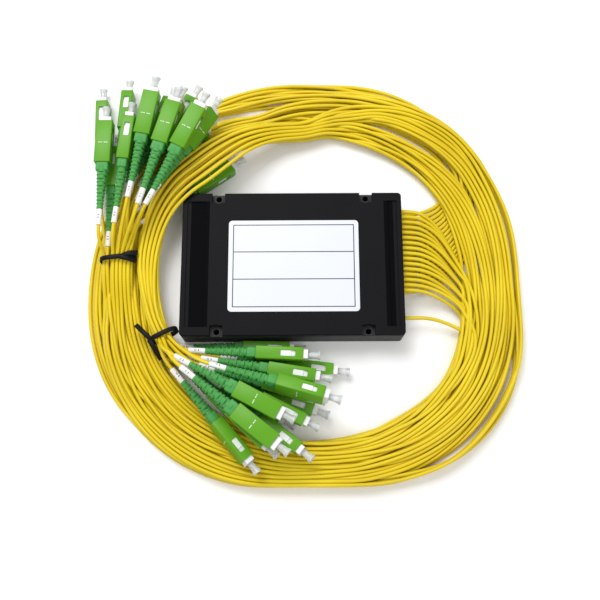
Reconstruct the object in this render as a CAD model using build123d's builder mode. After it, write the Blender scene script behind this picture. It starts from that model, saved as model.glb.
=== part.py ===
from build123d import *
import os
from math import acos, atan2, cos, degrees, hypot, radians, sin, tan

os.makedirs("parts", exist_ok=True)

# Splitter module in a flat box, with 33 fibre cords that leave one end, lie in one tied coil about
# the box and end in angled square push-pull connectors. Millimetres, X along the box towards the
# cord end, Y across it, Z up, with the origin under the middle of the box.

# Fits
seat_gap = 0.1  # between pieces that are glued or pressed side by side
slide_gap = 0.15  # round what slides
overrun = 1.0  # of a cut past the face that it opens

# Box
box_length = 120.0
box_width = 80.0
box_height = 18.0
wall = 2.0
floor_thickness = 2.0
cover_thickness = 3.0
box_corner_r = 2.0
edge_break = 0.4

# Bolt holes in notches along both long edges
hole_spacing_x = 81.0
hole_inset = 2.5  # from the long edge in to the bolt hole's middle
hole_r = 1.6
hole_rim_wall = 0.8
hole_rim_height = 0.3
notch_width = 7.0
notch_depth = 3.5
notch_wall = 1.0

# Shallow recesses in the cover's two ends
recess_depth = 0.8
recess_margin = 2.6
recess_length = 70.6
left_recess_width = 10.2
right_recess_width = 5.1

# Ribs and snaps under the cover
rib_thickness = 1.2
rib_depth = 2.0
rib_clearance = 8.0  # from a bolt hole's middle to the end of the rib beside it
snap_length = 6.0
snap_height = 0.8
snap_reach = 0.5
snap_drop = 0.4  # from the rib's lower edge up to the snap
snap_spacing = 40.0

# Label
label_length = 70.5
label_width = 51.0
label_thickness = 0.2
label_corner_r = 2.0
label_offset_x = 0.8
label_offset_y = -1.6

# Cords and where they leave the box
cord_d = 2.0
row_count = 16
cord_pitch = 3.0
first_cord_y = 31.0
upper_row_z = 12.0
lower_row_z = 6.0
input_y = -29.0
input_z = 9.0
cord_hole_gap = 0.1
anchor_depth = 6.0
anchor_margin = 2.2

# Splitter module
module_length = 50.0
module_width = 7.0
module_height = 4.0
module_wall = 0.4
module_x = 3.0
module_gap = 4.5  # between the module and the box's front wall
module_plug_length = 3.0
pad_thickness = 0.8
pad_margin = 1.0
chip_length = 20.0
chip_width = 4.5
chip_height = 2.5
input_array_length = 7.0
output_array_length = 9.0
array_gap = 0.02  # of glue between a fibre array and the chip

# Ribbons, fan-out blocks and fibre tubes
ribbon_count = 4
ribbon_width = 2.1
ribbon_thickness = 0.3
ribbon_pitch = 0.5
ribbon_lead = 3.0  # of straight ribbon out of the module
ribbon_bend_r = 14.0  # of the outermost ribbon
ribbon_bend_step = 2.0
block_length = 12.0
block_width = 6.0
block_height = 3.0
block_x = -6.0  # middle of the fan-out blocks
tube_d = 0.9
tube_pitch = 1.1
tube_lead = 11.0  # of straight tube at each end

# Coil
coil_x = 7.0
coil_y = -9.0
coil_radius = 105.0
coil_height = 9.0
low_coil_height = 6.5  # where the upper bunch of connectors lies on it
coil_edge_r = 2.4
coil_outer_shares = (
    (0, 1.14), (26, 1.17), (51, 1.22), (77, 1.21), (101, 1.18), (125, 1.14), (150, 1.14), (172, 1.17),
    (196, 1.16), (220, 1.13), (245, 1.10), (270, 1.05), (295, 1.11), (318, 1.19), (340, 1.15),
)
coil_inner_shares = (
    (0, 0.80), (13, 0.81), (28, 0.86), (52, 0.85), (78, 0.85), (102, 0.88), (124, 0.93), (146, 0.93),
    (163, 0.88), (180, 0.80), (204, 0.80), (229, 0.80), (254, 0.81), (280, 0.81), (303, 0.83),
    (324, 0.87), (344, 0.84),
)
low_coil_from = 102
low_coil_to = 163

# Strands that pass over the upper bunch to the lower tie
strand_band_width = 12.8
strand_band_height = 6.2
strand_band_corner_r = 1.8
strand_band_route = (
    (7.5, 81.5, 7.2), (-10.0, 80.0, 10.4), (-26.0, 74.5, 15.8), (-39.2, 66.0, 18.2), (-52.0, 55.6, 18.3),
    (-64.0, 45.4, 18.3), (-72.9, 31.0, 16.4), (-77.6, 15.5, 13.2), (-79.4, -1.0, 12.6),
    (-77.6, -17.5, 12.6), (-72.6, -31.0, 12.6), (-66.4, -42.0, 12.2),
)

# Ties
tie_width = 2.8
tie_thickness = 1.0
tie_corner_r = 3.0
tie_end_length = 13.0
tie_end_width = 1.6
upper_bundle_width = 18.0
upper_bundle_height = 9.6
upper_tie_place = (-95.6, 4.0, 11.0)
lower_bundle_width = 13.8
lower_bundle_height = 9.6
lower_tie_place = (-69.0, -38.6, 12.2)
lower_tie_side = (0.894, 0.447, 0)
lower_tie_way = (0.447, -0.894, 0)

# Connector
grip_length = 25.0
grip_width = 9.0
grip_body_height = 6.9
key_height = 0.3
key_width = 2.2
key_length = 9.0
grip_wall = 0.85
grip_corner_r = 0.6
grip_nose_chamfer = 1.1
grip_travel = 1.9
window_length = 9.0
window_width = 3.6
window_from_front = 3.5
pocket_depth = 4.2  # at the grip's rear, which runs over the boot's base
pocket_wall = 0.65
body_nose = 2.4  # of the inner body in front of the grip
body_length = 21.0
body_corner_r = 0.5
socket_r = 2.45
socket_depth = 7.0
latch_length = 6.0
latch_height = 0.6
latch_width = 3.0
ferrule_r = 1.25
ferrule_length = 13.0
ferrule_tip = 4.6  # of the ferrule in front of the grip
ferrule_angle = 8
cap_length = 9.5
cap_root_r = 2.1
cap_end_r = 2.45
cap_wall = 1.0
cap_bore_gap = 0.05
cap_step = 0.6  # from the grip's front down to the cap's rim
crimp_r = 2.4
crimp_length = 6.0
crimp_neck_r = 1.8
crimp_neck_length = 10.0
boot_length = 27.0
boot_base_length = 5.0
boot_base_width = 7.0
boot_base_height = 5.4
boot_base_corner_r = 1.4
boot_root_r = 3.3
boot_tail_r = 1.7
boot_groove_count = 7
boot_groove_width = 1.0
boot_groove_depth = 0.8
boot_seat = 1.2  # of the boot's base over the crimp
boot_clearance = 0.3  # from the drawn-back grip to the boot's round part
sleeve_length = 9.0
sleeve_wall = 0.45
sleeve_gap = 0.05
tail_bend = 16.5  # behind the boot, where a tail starts to leave its connector's axis
cord_entry = 17.0  # of cord inside the boot

# Places of the connectors: the grip's front as shares of the coil's radius from the middle of the
# box, then heading, rise and roll in degrees
upper_place_shares = (
    (-1.056, 0.969, 0.047, 92, 0, 90),
    (-0.906, 0.999, 0.093, 89, -8, 90),
    (-0.801, 0.951, 0.075, 81, -4.5, 90),
    (-0.682, 0.97, 0.07, 72.5, -9, 90),
    (-0.549, 0.957, 0.113, 62.5, -0.5, 90),
    (-0.433, 0.838, 0.205, 59, -3.2, 60),
    (-0.747, 0.956, 0.202, 80, 0.5, 90),
    (-0.481, 0.773, 0.103, 48.5, 0, 0),
    (-0.335, 0.588, 0.039, 36, -4.5, 0),
    (-0.391, 0.68, 0.105, 39.5, 0.5, 0),
    (-0.606, 0.886, 0.22, 69, 5, 90),
    (-0.998, 0.784, 0.185, 89.5, -0.5, 0),
    (-0.857, 0.784, 0.23, 84, 1.5, 90),
    (-0.616, 0.836, 0.301, 73.5, 0.5, 0),
    (-0.733, 0.898, 0.295, 79, 3.5, 0),
    (-0.48, 0.798, 0.323, 62.5, 5, 0),
    (-0.976, 0.684, 0.055, 91, -6.5, 90),
)
lower_place_shares = (
    (-0.015, -0.429, 0.046, -1.5, 0, 90),
    (0.207, -0.541, 0.047, -7, 0, 90),
    (0.019, -0.608, 0.046, -13, 0, 90),
    (0.104, -0.741, 0.046, -20, 0, 90),
    (-0.061, -0.786, 0.048, -28, 0.5, 90),
    (-0.235, -0.826, 0.134, -43.5, 2.5, 90),
    (0.056, -0.477, 0.148, -3, 2, 90),
    (0.115, -0.584, 0.144, -9.5, 1, 90),
    (0.084, -0.688, 0.159, -17, 4.5, 90),
    (0.056, -0.802, 0.15, -26.5, -5.5, 90),
    (0.031, -0.94, 0.168, -38.5, 7, 90),
    (-0.131, -0.922, 0.23, -43.5, 2, 90),
    (-0.223, -0.989, 0.152, -49.5, -0.5, 70),
    (0.155, -0.695, 0.262, -16, 2, 70),
    (-0.063, -0.774, 0.264, -28.5, 1, 0),
    (-0.082, -0.918, 0.316, -38.5, 2.5, 0),
)

base_height = box_height - cover_thickness
inner_x = box_length / 2 - wall
inner_y = box_width / 2 - wall
hole_spacing_y = box_width - 2 * hole_inset
grip_height = grip_body_height + key_height


def row_y(index):
    return first_cord_y - index * cord_pitch


def corner_radii(points, closed=False):
    """The largest arc that the two runs allow at each corner of a route."""
    count = len(points)
    corners = range(count) if closed else range(1, count - 1)
    radii = []
    for corner in corners:
        here = Vector(points[corner])
        before = here - Vector(points[corner - 1])
        after = Vector(points[(corner + 1) % count]) - here
        cosine = before.dot(after) / before.length / after.length
        half_turn = acos(min(1, cosine)) / 2
        radii.append(0.45 * min(before.length, after.length) / tan(half_turn))
    return radii


def route_wire(points, entry=None):
    """One smooth line of straight runs and tangent arcs, and a straight way on to an entry point."""
    with BuildLine() as line:
        FilletPolyline(*points, radius=corner_radii(points))
        if entry:
            Line(points[-1], entry)
    return line.wires()[0]


def start_plane(points):
    """The plane across a route's start."""
    return Plane(origin=points[0], z_dir=Vector(points[1]) - Vector(points[0]))


def blend(first, last, share):
    """A route between two others that have as many points."""
    return [
        tuple(a + (b - a) * share for a, b in zip(start, end)) for start, end in zip(first, last)
    ]


def save(builder, name):
    builder.part.label = name
    export_step(builder.part, f"parts/{name}.step")


# Box base: a tray with a bolt column in each notch and a row of holes for each row of cords
column_width = notch_width + 2 * notch_wall
cord_places = [(row_y(i), z) for z in (lower_row_z, upper_row_z) for i in range(row_count)]
cord_places.append((input_y, input_z))

with BuildPart() as base_shell:
    with BuildSketch():
        RectangleRounded(box_length, box_width, box_corner_r)
    extrude(amount=base_height)
    chamfer(base_shell.faces().sort_by(Axis.Z)[0].edges(), edge_break)
    chamfer(base_shell.faces().sort_by(Axis.Z)[-1].edges(), edge_break)
    with BuildSketch(Plane.XY.offset(floor_thickness)):
        Rectangle(2 * inner_x, 2 * inner_y)
        with GridLocations(hole_spacing_x, hole_spacing_y, 2, 2):
            Rectangle(column_width, 2 * hole_inset, mode=Mode.SUBTRACT)
            Circle(column_width / 2, mode=Mode.SUBTRACT)
    extrude(amount=box_height, mode=Mode.SUBTRACT)
    with BuildSketch(Plane.XY.offset(box_height - notch_depth)):
        with GridLocations(hole_spacing_x, hole_spacing_y, 2, 2):
            Rectangle(notch_width, 2 * hole_inset + overrun)
            Circle(notch_width / 2)
    extrude(amount=notch_depth, mode=Mode.SUBTRACT)
    with BuildSketch(Plane.XY.offset(box_height - notch_depth)):
        with GridLocations(hole_spacing_x, hole_spacing_y, 2, 2):
            Circle(hole_r + hole_rim_wall)
    extrude(amount=hole_rim_height)
    with GridLocations(hole_spacing_x, hole_spacing_y, 2, 2):
        Hole(hole_r)
    with BuildSketch(Plane.YZ.offset(inner_x - overrun)):
        with Locations(*cord_places):
            Circle(cord_d / 2 + cord_hole_gap)
    extrude(amount=wall + 2 * overrun, mode=Mode.SUBTRACT)
    snap_z = base_height - rib_depth + snap_drop + snap_height / 2
    with BuildSketch(Plane.XZ.offset(-inner_y - snap_reach - seat_gap)):
        with Locations((-snap_spacing / 2, snap_z), (snap_spacing / 2, snap_z)):
            Rectangle(snap_length + 2 * seat_gap, snap_height + 2 * seat_gap)
    extrude(amount=2 * (inner_y + snap_reach + seat_gap), mode=Mode.SUBTRACT)
save(base_shell, "base_shell")

# Cover: a plate with the four notches, two shallow recesses and snap ribs under it
rib_y = inner_y - seat_gap - rib_thickness / 2
long_rib = hole_spacing_x - 2 * rib_clearance
short_rib = hole_spacing_y - 2 * rib_clearance

with BuildPart() as top_cover:
    with BuildSketch(Plane.XY.offset(base_height)):
        RectangleRounded(box_length, box_width, box_corner_r)
    extrude(amount=cover_thickness)
    chamfer(top_cover.faces().sort_by(Axis.Z)[0].edges(), edge_break)
    chamfer(top_cover.faces().sort_by(Axis.Z)[-1].edges(), edge_break)
    with BuildSketch(Plane.XY.offset(base_height)):
        with GridLocations(hole_spacing_x, hole_spacing_y, 2, 2):
            Rectangle(notch_width, 2 * hole_inset + overrun)
            Circle(notch_width / 2)
    extrude(amount=cover_thickness, mode=Mode.SUBTRACT)
    with BuildSketch(Plane.XY.offset(box_height - recess_depth)):
        with Locations((recess_margin - box_length / 2, 0)):
            Rectangle(left_recess_width, recess_length, align=(Align.MIN, Align.CENTER))
        with Locations((box_length / 2 - recess_margin, 0)):
            Rectangle(right_recess_width, recess_length, align=(Align.MAX, Align.CENTER))
    extrude(amount=recess_depth, mode=Mode.SUBTRACT)
    with BuildSketch(Plane.XY.offset(base_height - rib_depth)):
        with Locations((0, rib_y), (0, -rib_y)):
            Rectangle(long_rib, rib_thickness)
        with Locations((seat_gap + rib_thickness / 2 - inner_x, 0)):
            Rectangle(rib_thickness, short_rib)
    extrude(amount=rib_depth)
    with BuildSketch(Plane.XZ.offset(-inner_y - snap_reach + seat_gap)):
        with Locations((-snap_spacing / 2, snap_z), (snap_spacing / 2, snap_z)):
            Rectangle(snap_length, snap_height)
    extrude(amount=snap_reach + rib_thickness / 2)
    with BuildSketch(Plane.XZ.offset(inner_y + snap_reach - seat_gap)):
        with Locations((-snap_spacing / 2, snap_z), (snap_spacing / 2, snap_z)):
            Rectangle(snap_length, snap_height)
    extrude(amount=-snap_reach - rib_thickness / 2)
save(top_cover, "top_cover")

# Label on the cover
with BuildPart() as front_label:
    with BuildSketch(Plane.XY.offset(box_height)):
        with Locations((label_offset_x, label_offset_y)):
            RectangleRounded(label_length, label_width, label_corner_r)
    extrude(amount=label_thickness)
save(front_label, "front_label")

# Anchor bar in which all the cords are cemented, behind the end wall
anchor_x = inner_x - seat_gap
anchor_top = base_height - seat_gap
anchor_y_high = first_cord_y + anchor_margin
anchor_y_low = input_y - anchor_margin

with BuildPart() as cord_anchor:
    with BuildSketch(Plane.XY.offset(floor_thickness)):
        with Locations((anchor_x, anchor_y_low)):
            Rectangle(anchor_depth, anchor_y_high - anchor_y_low, align=(Align.MAX, Align.MIN))
    extrude(amount=anchor_top - floor_thickness)
save(cord_anchor, "cord_anchor")

# Splitter module: chip between two fibre arrays, in a square tube with two end plugs, on a pad
module_y = module_gap + module_width / 2 - inner_y
module_base_z = floor_thickness + pad_thickness
module_mid_z = module_base_z + module_height / 2
chip_x = module_x + (output_array_length - input_array_length) / 2

with BuildPart() as module_pad:
    with Locations((module_x, module_y, floor_thickness)):
        Box(
            module_length - 2 * pad_margin,
            module_width - 2 * pad_margin,
            pad_thickness,
            align=(Align.CENTER, Align.CENTER, Align.MIN),
        )
save(module_pad, "module_pad")

with BuildPart() as module_housing:
    with Locations((module_x, module_y, module_mid_z)):
        Box(module_length, module_width, module_height)
        Box(
            module_length + overrun,
            module_width - 2 * module_wall,
            module_height - 2 * module_wall,
            mode=Mode.SUBTRACT,
        )
save(module_housing, "module_housing")

plug_x = (module_length - module_plug_length) / 2
ribbon_slot_y = ribbon_count * ribbon_pitch
with BuildPart() as module_plugs:
    with Locations((module_x - plug_x, module_y, module_mid_z)):
        Box(module_plug_length, module_width - 2 * module_wall, module_height - 2 * module_wall)
        Box(module_plug_length + overrun, ribbon_slot_y, ribbon_width + seat_gap, mode=Mode.SUBTRACT)
    with Locations((module_x + plug_x, module_y, module_mid_z)):
        Box(module_plug_length, module_width - 2 * module_wall, module_height - 2 * module_wall)
save(module_plugs, "module_plugs")

chip_z = module_base_z + module_wall + chip_height / 2
with BuildPart() as splitter_chip:
    with Locations((chip_x, module_y, chip_z)):
        Box(chip_length, chip_width, chip_height)
save(splitter_chip, "splitter_chip")

with BuildPart() as fibre_arrays:
    with BuildSketch(Plane.XY.offset(chip_z - chip_height / 2)):
        with Locations((chip_x - chip_length / 2 - array_gap, module_y)):
            Rectangle(output_array_length, chip_width, align=(Align.MAX, Align.CENTER))
        with Locations((chip_x + chip_length / 2 + array_gap, module_y)):
            Rectangle(input_array_length, chip_width, align=(Align.MIN, Align.CENTER))
    extrude(amount=chip_height)
save(fibre_arrays, "fibre_arrays")

# Four ribbons on edge, from the module's left end round to the fan-out blocks
columns_per_block = row_count // ribbon_count
block_pitch = columns_per_block * cord_pitch
block_ys = [row_y((columns_per_block - 1) / 2) - i * block_pitch for i in range(ribbon_count)]
block_left = block_x - block_length / 2
block_right = block_x + block_length / 2
ribbon_x = module_x - module_length / 2 - ribbon_lead
block_mid_z = floor_thickness + block_height / 2
ribbon_z = module_mid_z - ribbon_width / 2

with BuildPart() as fan_out_blocks:
    with BuildSketch(Plane.XY.offset(floor_thickness)):
        with Locations(*[(block_x, y) for y in block_ys]):
            Rectangle(block_length, block_width)
    extrude(amount=block_height)
    with BuildSketch(Plane.XY.offset(ribbon_z - seat_gap)):
        with Locations(*[(block_left, y) for y in block_ys]):
            Rectangle(block_length, ribbon_thickness + 2 * seat_gap)
    extrude(amount=block_height, mode=Mode.SUBTRACT)
save(fan_out_blocks, "fan_out_blocks")

with BuildPart() as output_ribbons:
    for i, y in enumerate(block_ys):
        start_y = module_y - (ribbon_count / 2 - 0.5 - i) * ribbon_pitch
        bend_r = ribbon_bend_r - i * ribbon_bend_step
        bend_x = ribbon_x - bend_r
        start = (ribbon_x + ribbon_lead, start_y)
        with BuildSketch(Plane.XY.offset(ribbon_z)):
            with BuildLine():
                FilletPolyline(start, (bend_x, start_y), (bend_x, y), (block_left, y), radius=bend_r)
            trace(line_width=ribbon_thickness)
        extrude(amount=ribbon_width)
save(output_ribbons, "output_ribbons")

# Fibre tubes, one from each fan-out place to the anchor bar, and one from the anchor to the module
anchor_inner_x = anchor_x - anchor_depth


def fibre_tube_route(index, level):
    block, column = divmod(index, columns_per_block)
    start_y = block_ys[block] - (column - (columns_per_block - 1) / 2) * tube_pitch
    start_z = block_mid_z + (level - 0.5) * tube_pitch
    end_y = row_y(index)
    end_z = upper_row_z if level else lower_row_z
    return [
        (block_right, start_y, start_z),
        (block_right + tube_lead, start_y, start_z),
        (anchor_inner_x - tube_lead, end_y, end_z),
        (anchor_inner_x, end_y, end_z),
    ]


input_tube_route = [
    (anchor_inner_x, input_y, input_z),
    (anchor_inner_x - tube_lead / 2, input_y, input_z),
    (module_x + module_length / 2 + tube_lead / 2, module_y, module_mid_z),
    (module_x + module_length / 2, module_y, module_mid_z),
]
fibre_routes = [fibre_tube_route(i, level) for level in (0, 1) for i in range(row_count)]
fibre_routes.append(input_tube_route)
fibre_wires = [route_wire(points) for points in fibre_routes]

with BuildPart() as fibre_tubes:
    for points, wire in zip(fibre_routes, fibre_wires):
        with BuildSketch(start_plane(points)):
            Circle(tube_d / 2)
        sweep(path=wire)
save(fibre_tubes, "fibre_tubes")


# Coil: the outer shape of all its turns
def coil_point(angle, share):
    reach = coil_radius * share
    return (coil_x + reach * cos(radians(angle)), coil_y + reach * sin(radians(angle)))


coil_outer = [coil_point(angle, share) for angle, share in coil_outer_shares]
coil_inner = [coil_point(angle, share) for angle, share in coil_inner_shares]
sector_share = 1.6  # past the coil's outer edge
low_sector = [
    (coil_x, coil_y),
    coil_point(low_coil_from, sector_share),
    coil_point((low_coil_from + low_coil_to) / 2, sector_share),
    coil_point(low_coil_to, sector_share),
]

with BuildPart() as cord_coil:
    with BuildSketch():
        with BuildLine():
            FilletPolyline(*coil_outer, radius=corner_radii(coil_outer, closed=True), close=True)
        make_face()
        with BuildLine():
            FilletPolyline(*coil_inner, radius=corner_radii(coil_inner, closed=True), close=True)
        make_face(mode=Mode.SUBTRACT)
    extrude(amount=coil_height)
    chamfer(cord_coil.faces().sort_by(Axis.Z)[-1].edges(), coil_edge_r)
    chamfer(cord_coil.faces().sort_by(Axis.Z)[0].edges(), coil_edge_r / 2)
    with BuildSketch(Plane.XY.offset(low_coil_height)):
        with BuildLine():
            Polyline(*low_sector, close=True)
        make_face()
    extrude(amount=coil_height, mode=Mode.SUBTRACT)
save(cord_coil, "cord_coil")

band_start = Vector(strand_band_route[0])
band_heading = (Vector(strand_band_route[1]) - band_start).normalized()
band_side = band_heading.cross(Vector(0, 0, 1)).normalized()
band_wire = route_wire(strand_band_route)

with BuildPart() as strand_band:
    with BuildSketch(Plane(origin=band_start, x_dir=band_side, z_dir=band_heading)):
        RectangleRounded(strand_band_width, strand_band_height, strand_band_corner_r)
    sweep(path=band_wire)
save(strand_band, "strand_band")

# Cords from the box into the coil: two rows that part, and the input cord
first_upper_route = [(57.9, 31, 12), (63, 31, 12), (72, 30, 11.8), (81, 23, 9.6), (88.5, 11, 5.8)]
last_upper_route = [(57.9, -14, 12), (63, -14, 12), (72, -14.8, 11.2), (81.5, -18.2, 9), (91.5, -24, 5.8)]
first_lower_route = [(57.9, 31, 6), (62.5, 31, 6), (70, 32, 4), (77.5, 35.2, 1.8), (84.5, 39.6, 1.2)]
last_lower_route = [(57.9, -14, 6), (62.5, -14, 6), (72, -12.2, 3.4), (83, -5.8, 1.4), (95.5, 5, 1.2)]
input_route = [(57.9, -29, 9), (63, -29, 9), (73.5, -28.8, 8.6), (84, -31.4, 6.8), (94.5, -36.5, 4.6)]
level_rise = 2.25  # between the three levels in which the upper row's cords meet the coil
half_rise_share = 0.62  # of that rise, at the route's fourth point


def upper_row_route(index):
    route = blend(first_upper_route, last_upper_route, index / (row_count - 1))
    rise = (index % 3 - 1) * level_rise
    fourth, last = route[3], route[4]
    route[3] = (fourth[0], fourth[1], fourth[2] + rise * half_rise_share)
    route[4] = (last[0], last[1], last[2] + rise)
    return route


def lower_row_route(index):
    return blend(first_lower_route, last_lower_route, index / (row_count - 1))


upper_row_routes = [upper_row_route(i) for i in range(row_count)]
lower_row_routes = [lower_row_route(i) for i in range(row_count)]
upper_row_wires = [route_wire(points) for points in upper_row_routes]
lower_row_wires = [route_wire(points) for points in lower_row_routes]
input_wire = route_wire(input_route)

with BuildPart() as upper_row_cords:
    for points, wire in zip(upper_row_routes, upper_row_wires):
        with BuildSketch(start_plane(points)):
            Circle(cord_d / 2)
        sweep(path=wire)
save(upper_row_cords, "upper_row_cords")

with BuildPart() as lower_row_cords:
    for points, wire in zip(lower_row_routes, lower_row_wires):
        with BuildSketch(start_plane(points)):
            Circle(cord_d / 2)
        sweep(path=wire)
save(lower_row_cords, "lower_row_cords")

with BuildPart() as input_cord:
    with BuildSketch(start_plane(input_route)):
        Circle(cord_d / 2)
    sweep(path=input_wire)
save(input_cord, "input_cord")


# Connectors: each is made once about its own axis, with the grip's front at zero and its way
# forward along Z, and is then set at its places
def connector_plane(place):
    x_share, y_share, z_share, heading, rise, roll = place
    forward = Vector(
        cos(radians(heading)) * cos(radians(rise)),
        sin(radians(heading)) * cos(radians(rise)),
        sin(radians(rise)),
    )
    flat_side = Vector(-sin(radians(heading)), cos(radians(heading)), 0)
    flat_top = forward.cross(flat_side)
    side = flat_side * cos(radians(roll)) + flat_top * sin(radians(roll))
    origin = Vector(x_share, y_share, z_share) * coil_radius
    return Plane(origin=origin, x_dir=side, z_dir=forward)


upper_planes = [connector_plane(place) for place in upper_place_shares]
lower_planes = [connector_plane(place) for place in lower_place_shares]
connector_planes = upper_planes + lower_planes
connector_locations = [plane.location for plane in connector_planes]

body_width = grip_width - 2 * grip_wall - 2 * slide_gap
body_height = grip_body_height - 2 * grip_wall - 2 * slide_gap
body_rear = body_nose - body_length
boot_front = body_rear - crimp_length + boot_seat
boot_rear = -grip_length - boot_length
window_middle = -window_from_front - window_length / 2

with BuildPart() as grip_shape:
    with BuildSketch(Plane.XY.offset(-grip_length)):
        RectangleRounded(grip_width, grip_body_height, grip_corner_r)
    extrude(amount=grip_length)
    front_face = grip_shape.faces().sort_by(Axis.Z)[-1]
    chamfer(front_face.edges().filter_by(Axis.Y), grip_nose_chamfer, grip_wall * 0.6)
    with BuildSketch(Plane.XY.offset(-key_length)):
        with Locations((0, -grip_body_height / 2)):
            Rectangle(key_width, key_height, align=(Align.CENTER, Align.MAX))
    extrude(amount=key_length - grip_nose_chamfer)
    with BuildSketch(Plane.XY.offset(-grip_length - overrun)):
        Rectangle(grip_width - 2 * grip_wall, grip_body_height - 2 * grip_wall)
    extrude(amount=grip_length + 2 * overrun, mode=Mode.SUBTRACT)
    with BuildSketch(Plane.XY.offset(-grip_length - overrun)):
        Rectangle(grip_width - 2 * pocket_wall, grip_body_height - 2 * pocket_wall)
    extrude(amount=pocket_depth + overrun, mode=Mode.SUBTRACT)
    with BuildSketch(Plane.YZ.offset(-grip_width)):
        with Locations((0, window_middle)):
            Rectangle(window_width, window_length)
    extrude(amount=2 * grip_width, mode=Mode.SUBTRACT)

with BuildPart() as body_shape:
    with BuildSketch(Plane.XY.offset(body_rear)):
        RectangleRounded(body_width, body_height, body_corner_r)
    extrude(amount=body_length)
    with BuildSketch(Plane.YZ.offset(-body_width / 2 - latch_height)):
        with Locations((0, window_middle - (window_length - latch_length - 2 * slide_gap) / 2)):
            Rectangle(latch_width, latch_length)
    extrude(amount=body_width + 2 * latch_height)
    with Locations(Plane.XY.offset(body_nose)):
        CounterBoreHole(
            radius=ferrule_r + seat_gap / 2, counter_bore_radius=socket_r, counter_bore_depth=socket_depth
        )

with BuildPart() as ferrule_shape:
    with BuildSketch(Plane.XY.offset(ferrule_tip - ferrule_length)):
        Circle(ferrule_r)
    extrude(amount=ferrule_length)
    tip_drop = ferrule_r * tan(radians(ferrule_angle))
    split(
        bisect_by=Plane(
            origin=(0, 0, ferrule_tip - tip_drop),
            z_dir=(0, sin(radians(ferrule_angle)), cos(radians(ferrule_angle))),
        ),
        keep=Keep.BOTTOM,
    )

cap_bore_end = ferrule_tip + seat_gap
with BuildPart() as cap_shape:
    with BuildSketch(Plane.XZ):
        with BuildLine():
            Polyline(
                (0, cap_bore_end),
                (ferrule_r + cap_bore_gap, cap_bore_end),
                (ferrule_r + cap_bore_gap, -cap_step),
                (cap_root_r, -cap_step),
                (cap_root_r, cap_bore_end),
                (cap_end_r, cap_length - cap_step - cap_wall),
                (cap_end_r, cap_length - cap_step),
                (0, cap_length - cap_step),
                close=True,
            )
        make_face()
    revolve(axis=Axis.Z)

with BuildPart() as crimp_shape:
    with BuildSketch(Plane.XY.offset(body_rear - crimp_length)):
        Circle(crimp_r)
    extrude(amount=crimp_length)
    with BuildSketch(Plane.XY.offset(body_rear - crimp_length - crimp_neck_length)):
        Circle(crimp_neck_r)
    extrude(amount=crimp_neck_length)
    Hole(cord_d / 2 - slide_gap)

groove_run = boot_length - boot_base_length
groove_pitch = groove_run / (boot_groove_count + 0.5)
boot_taper = (boot_root_r - boot_tail_r) / boot_length


def boot_r(z):
    return boot_tail_r + (z - boot_rear) * boot_taper


boot_top = -grip_length - grip_travel - boot_clearance
boot_outline = [(0, boot_top), (boot_r(boot_top), boot_top)]
for i in range(boot_groove_count):
    groove_top = -grip_length - boot_base_length - i * groove_pitch
    groove_end = groove_top - boot_groove_width
    boot_outline += [
        (boot_r(groove_top), groove_top),
        (boot_r(groove_top) - boot_groove_depth * boot_r(groove_top) / boot_root_r, groove_top),
        (boot_r(groove_end) - boot_groove_depth * boot_r(groove_end) / boot_root_r, groove_end),
        (boot_r(groove_end), groove_end),
    ]
boot_outline += [(boot_tail_r, boot_rear), (0, boot_rear)]

with BuildPart() as boot_shape:
    with BuildSketch(Plane.XZ):
        with BuildLine():
            Polyline(*boot_outline, close=True)
        make_face()
    revolve(axis=Axis.Z)
    with BuildSketch(Plane.XY.offset(-grip_length - boot_base_length)):
        RectangleRounded(boot_base_width, boot_base_height, boot_base_corner_r)
    extrude(amount=grip_length + boot_base_length + boot_front)
    with BuildSketch(Plane.XY.offset(boot_front)):
        Circle(crimp_r + seat_gap)
    extrude(amount=body_rear - crimp_length - boot_front - seat_gap, mode=Mode.SUBTRACT)
    with BuildSketch(Plane.XY.offset(boot_front)):
        Circle(crimp_neck_r + seat_gap)
    extrude(
        amount=body_rear - crimp_length - crimp_neck_length - boot_front - seat_gap, mode=Mode.SUBTRACT
    )
    with BuildSketch(Plane.XY.offset(boot_rear)):
        Circle(cord_d / 2 + cord_hole_gap)
    extrude(amount=boot_length, mode=Mode.SUBTRACT)

sleeve_front = boot_rear - seat_gap
with BuildPart() as sleeve_shape:
    with BuildSketch(Plane.XY.offset(sleeve_front - sleeve_length)):
        Circle(cord_d / 2 + sleeve_gap + sleeve_wall)
        Circle(cord_d / 2 + sleeve_gap, mode=Mode.SUBTRACT)
    extrude(amount=sleeve_length)

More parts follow.
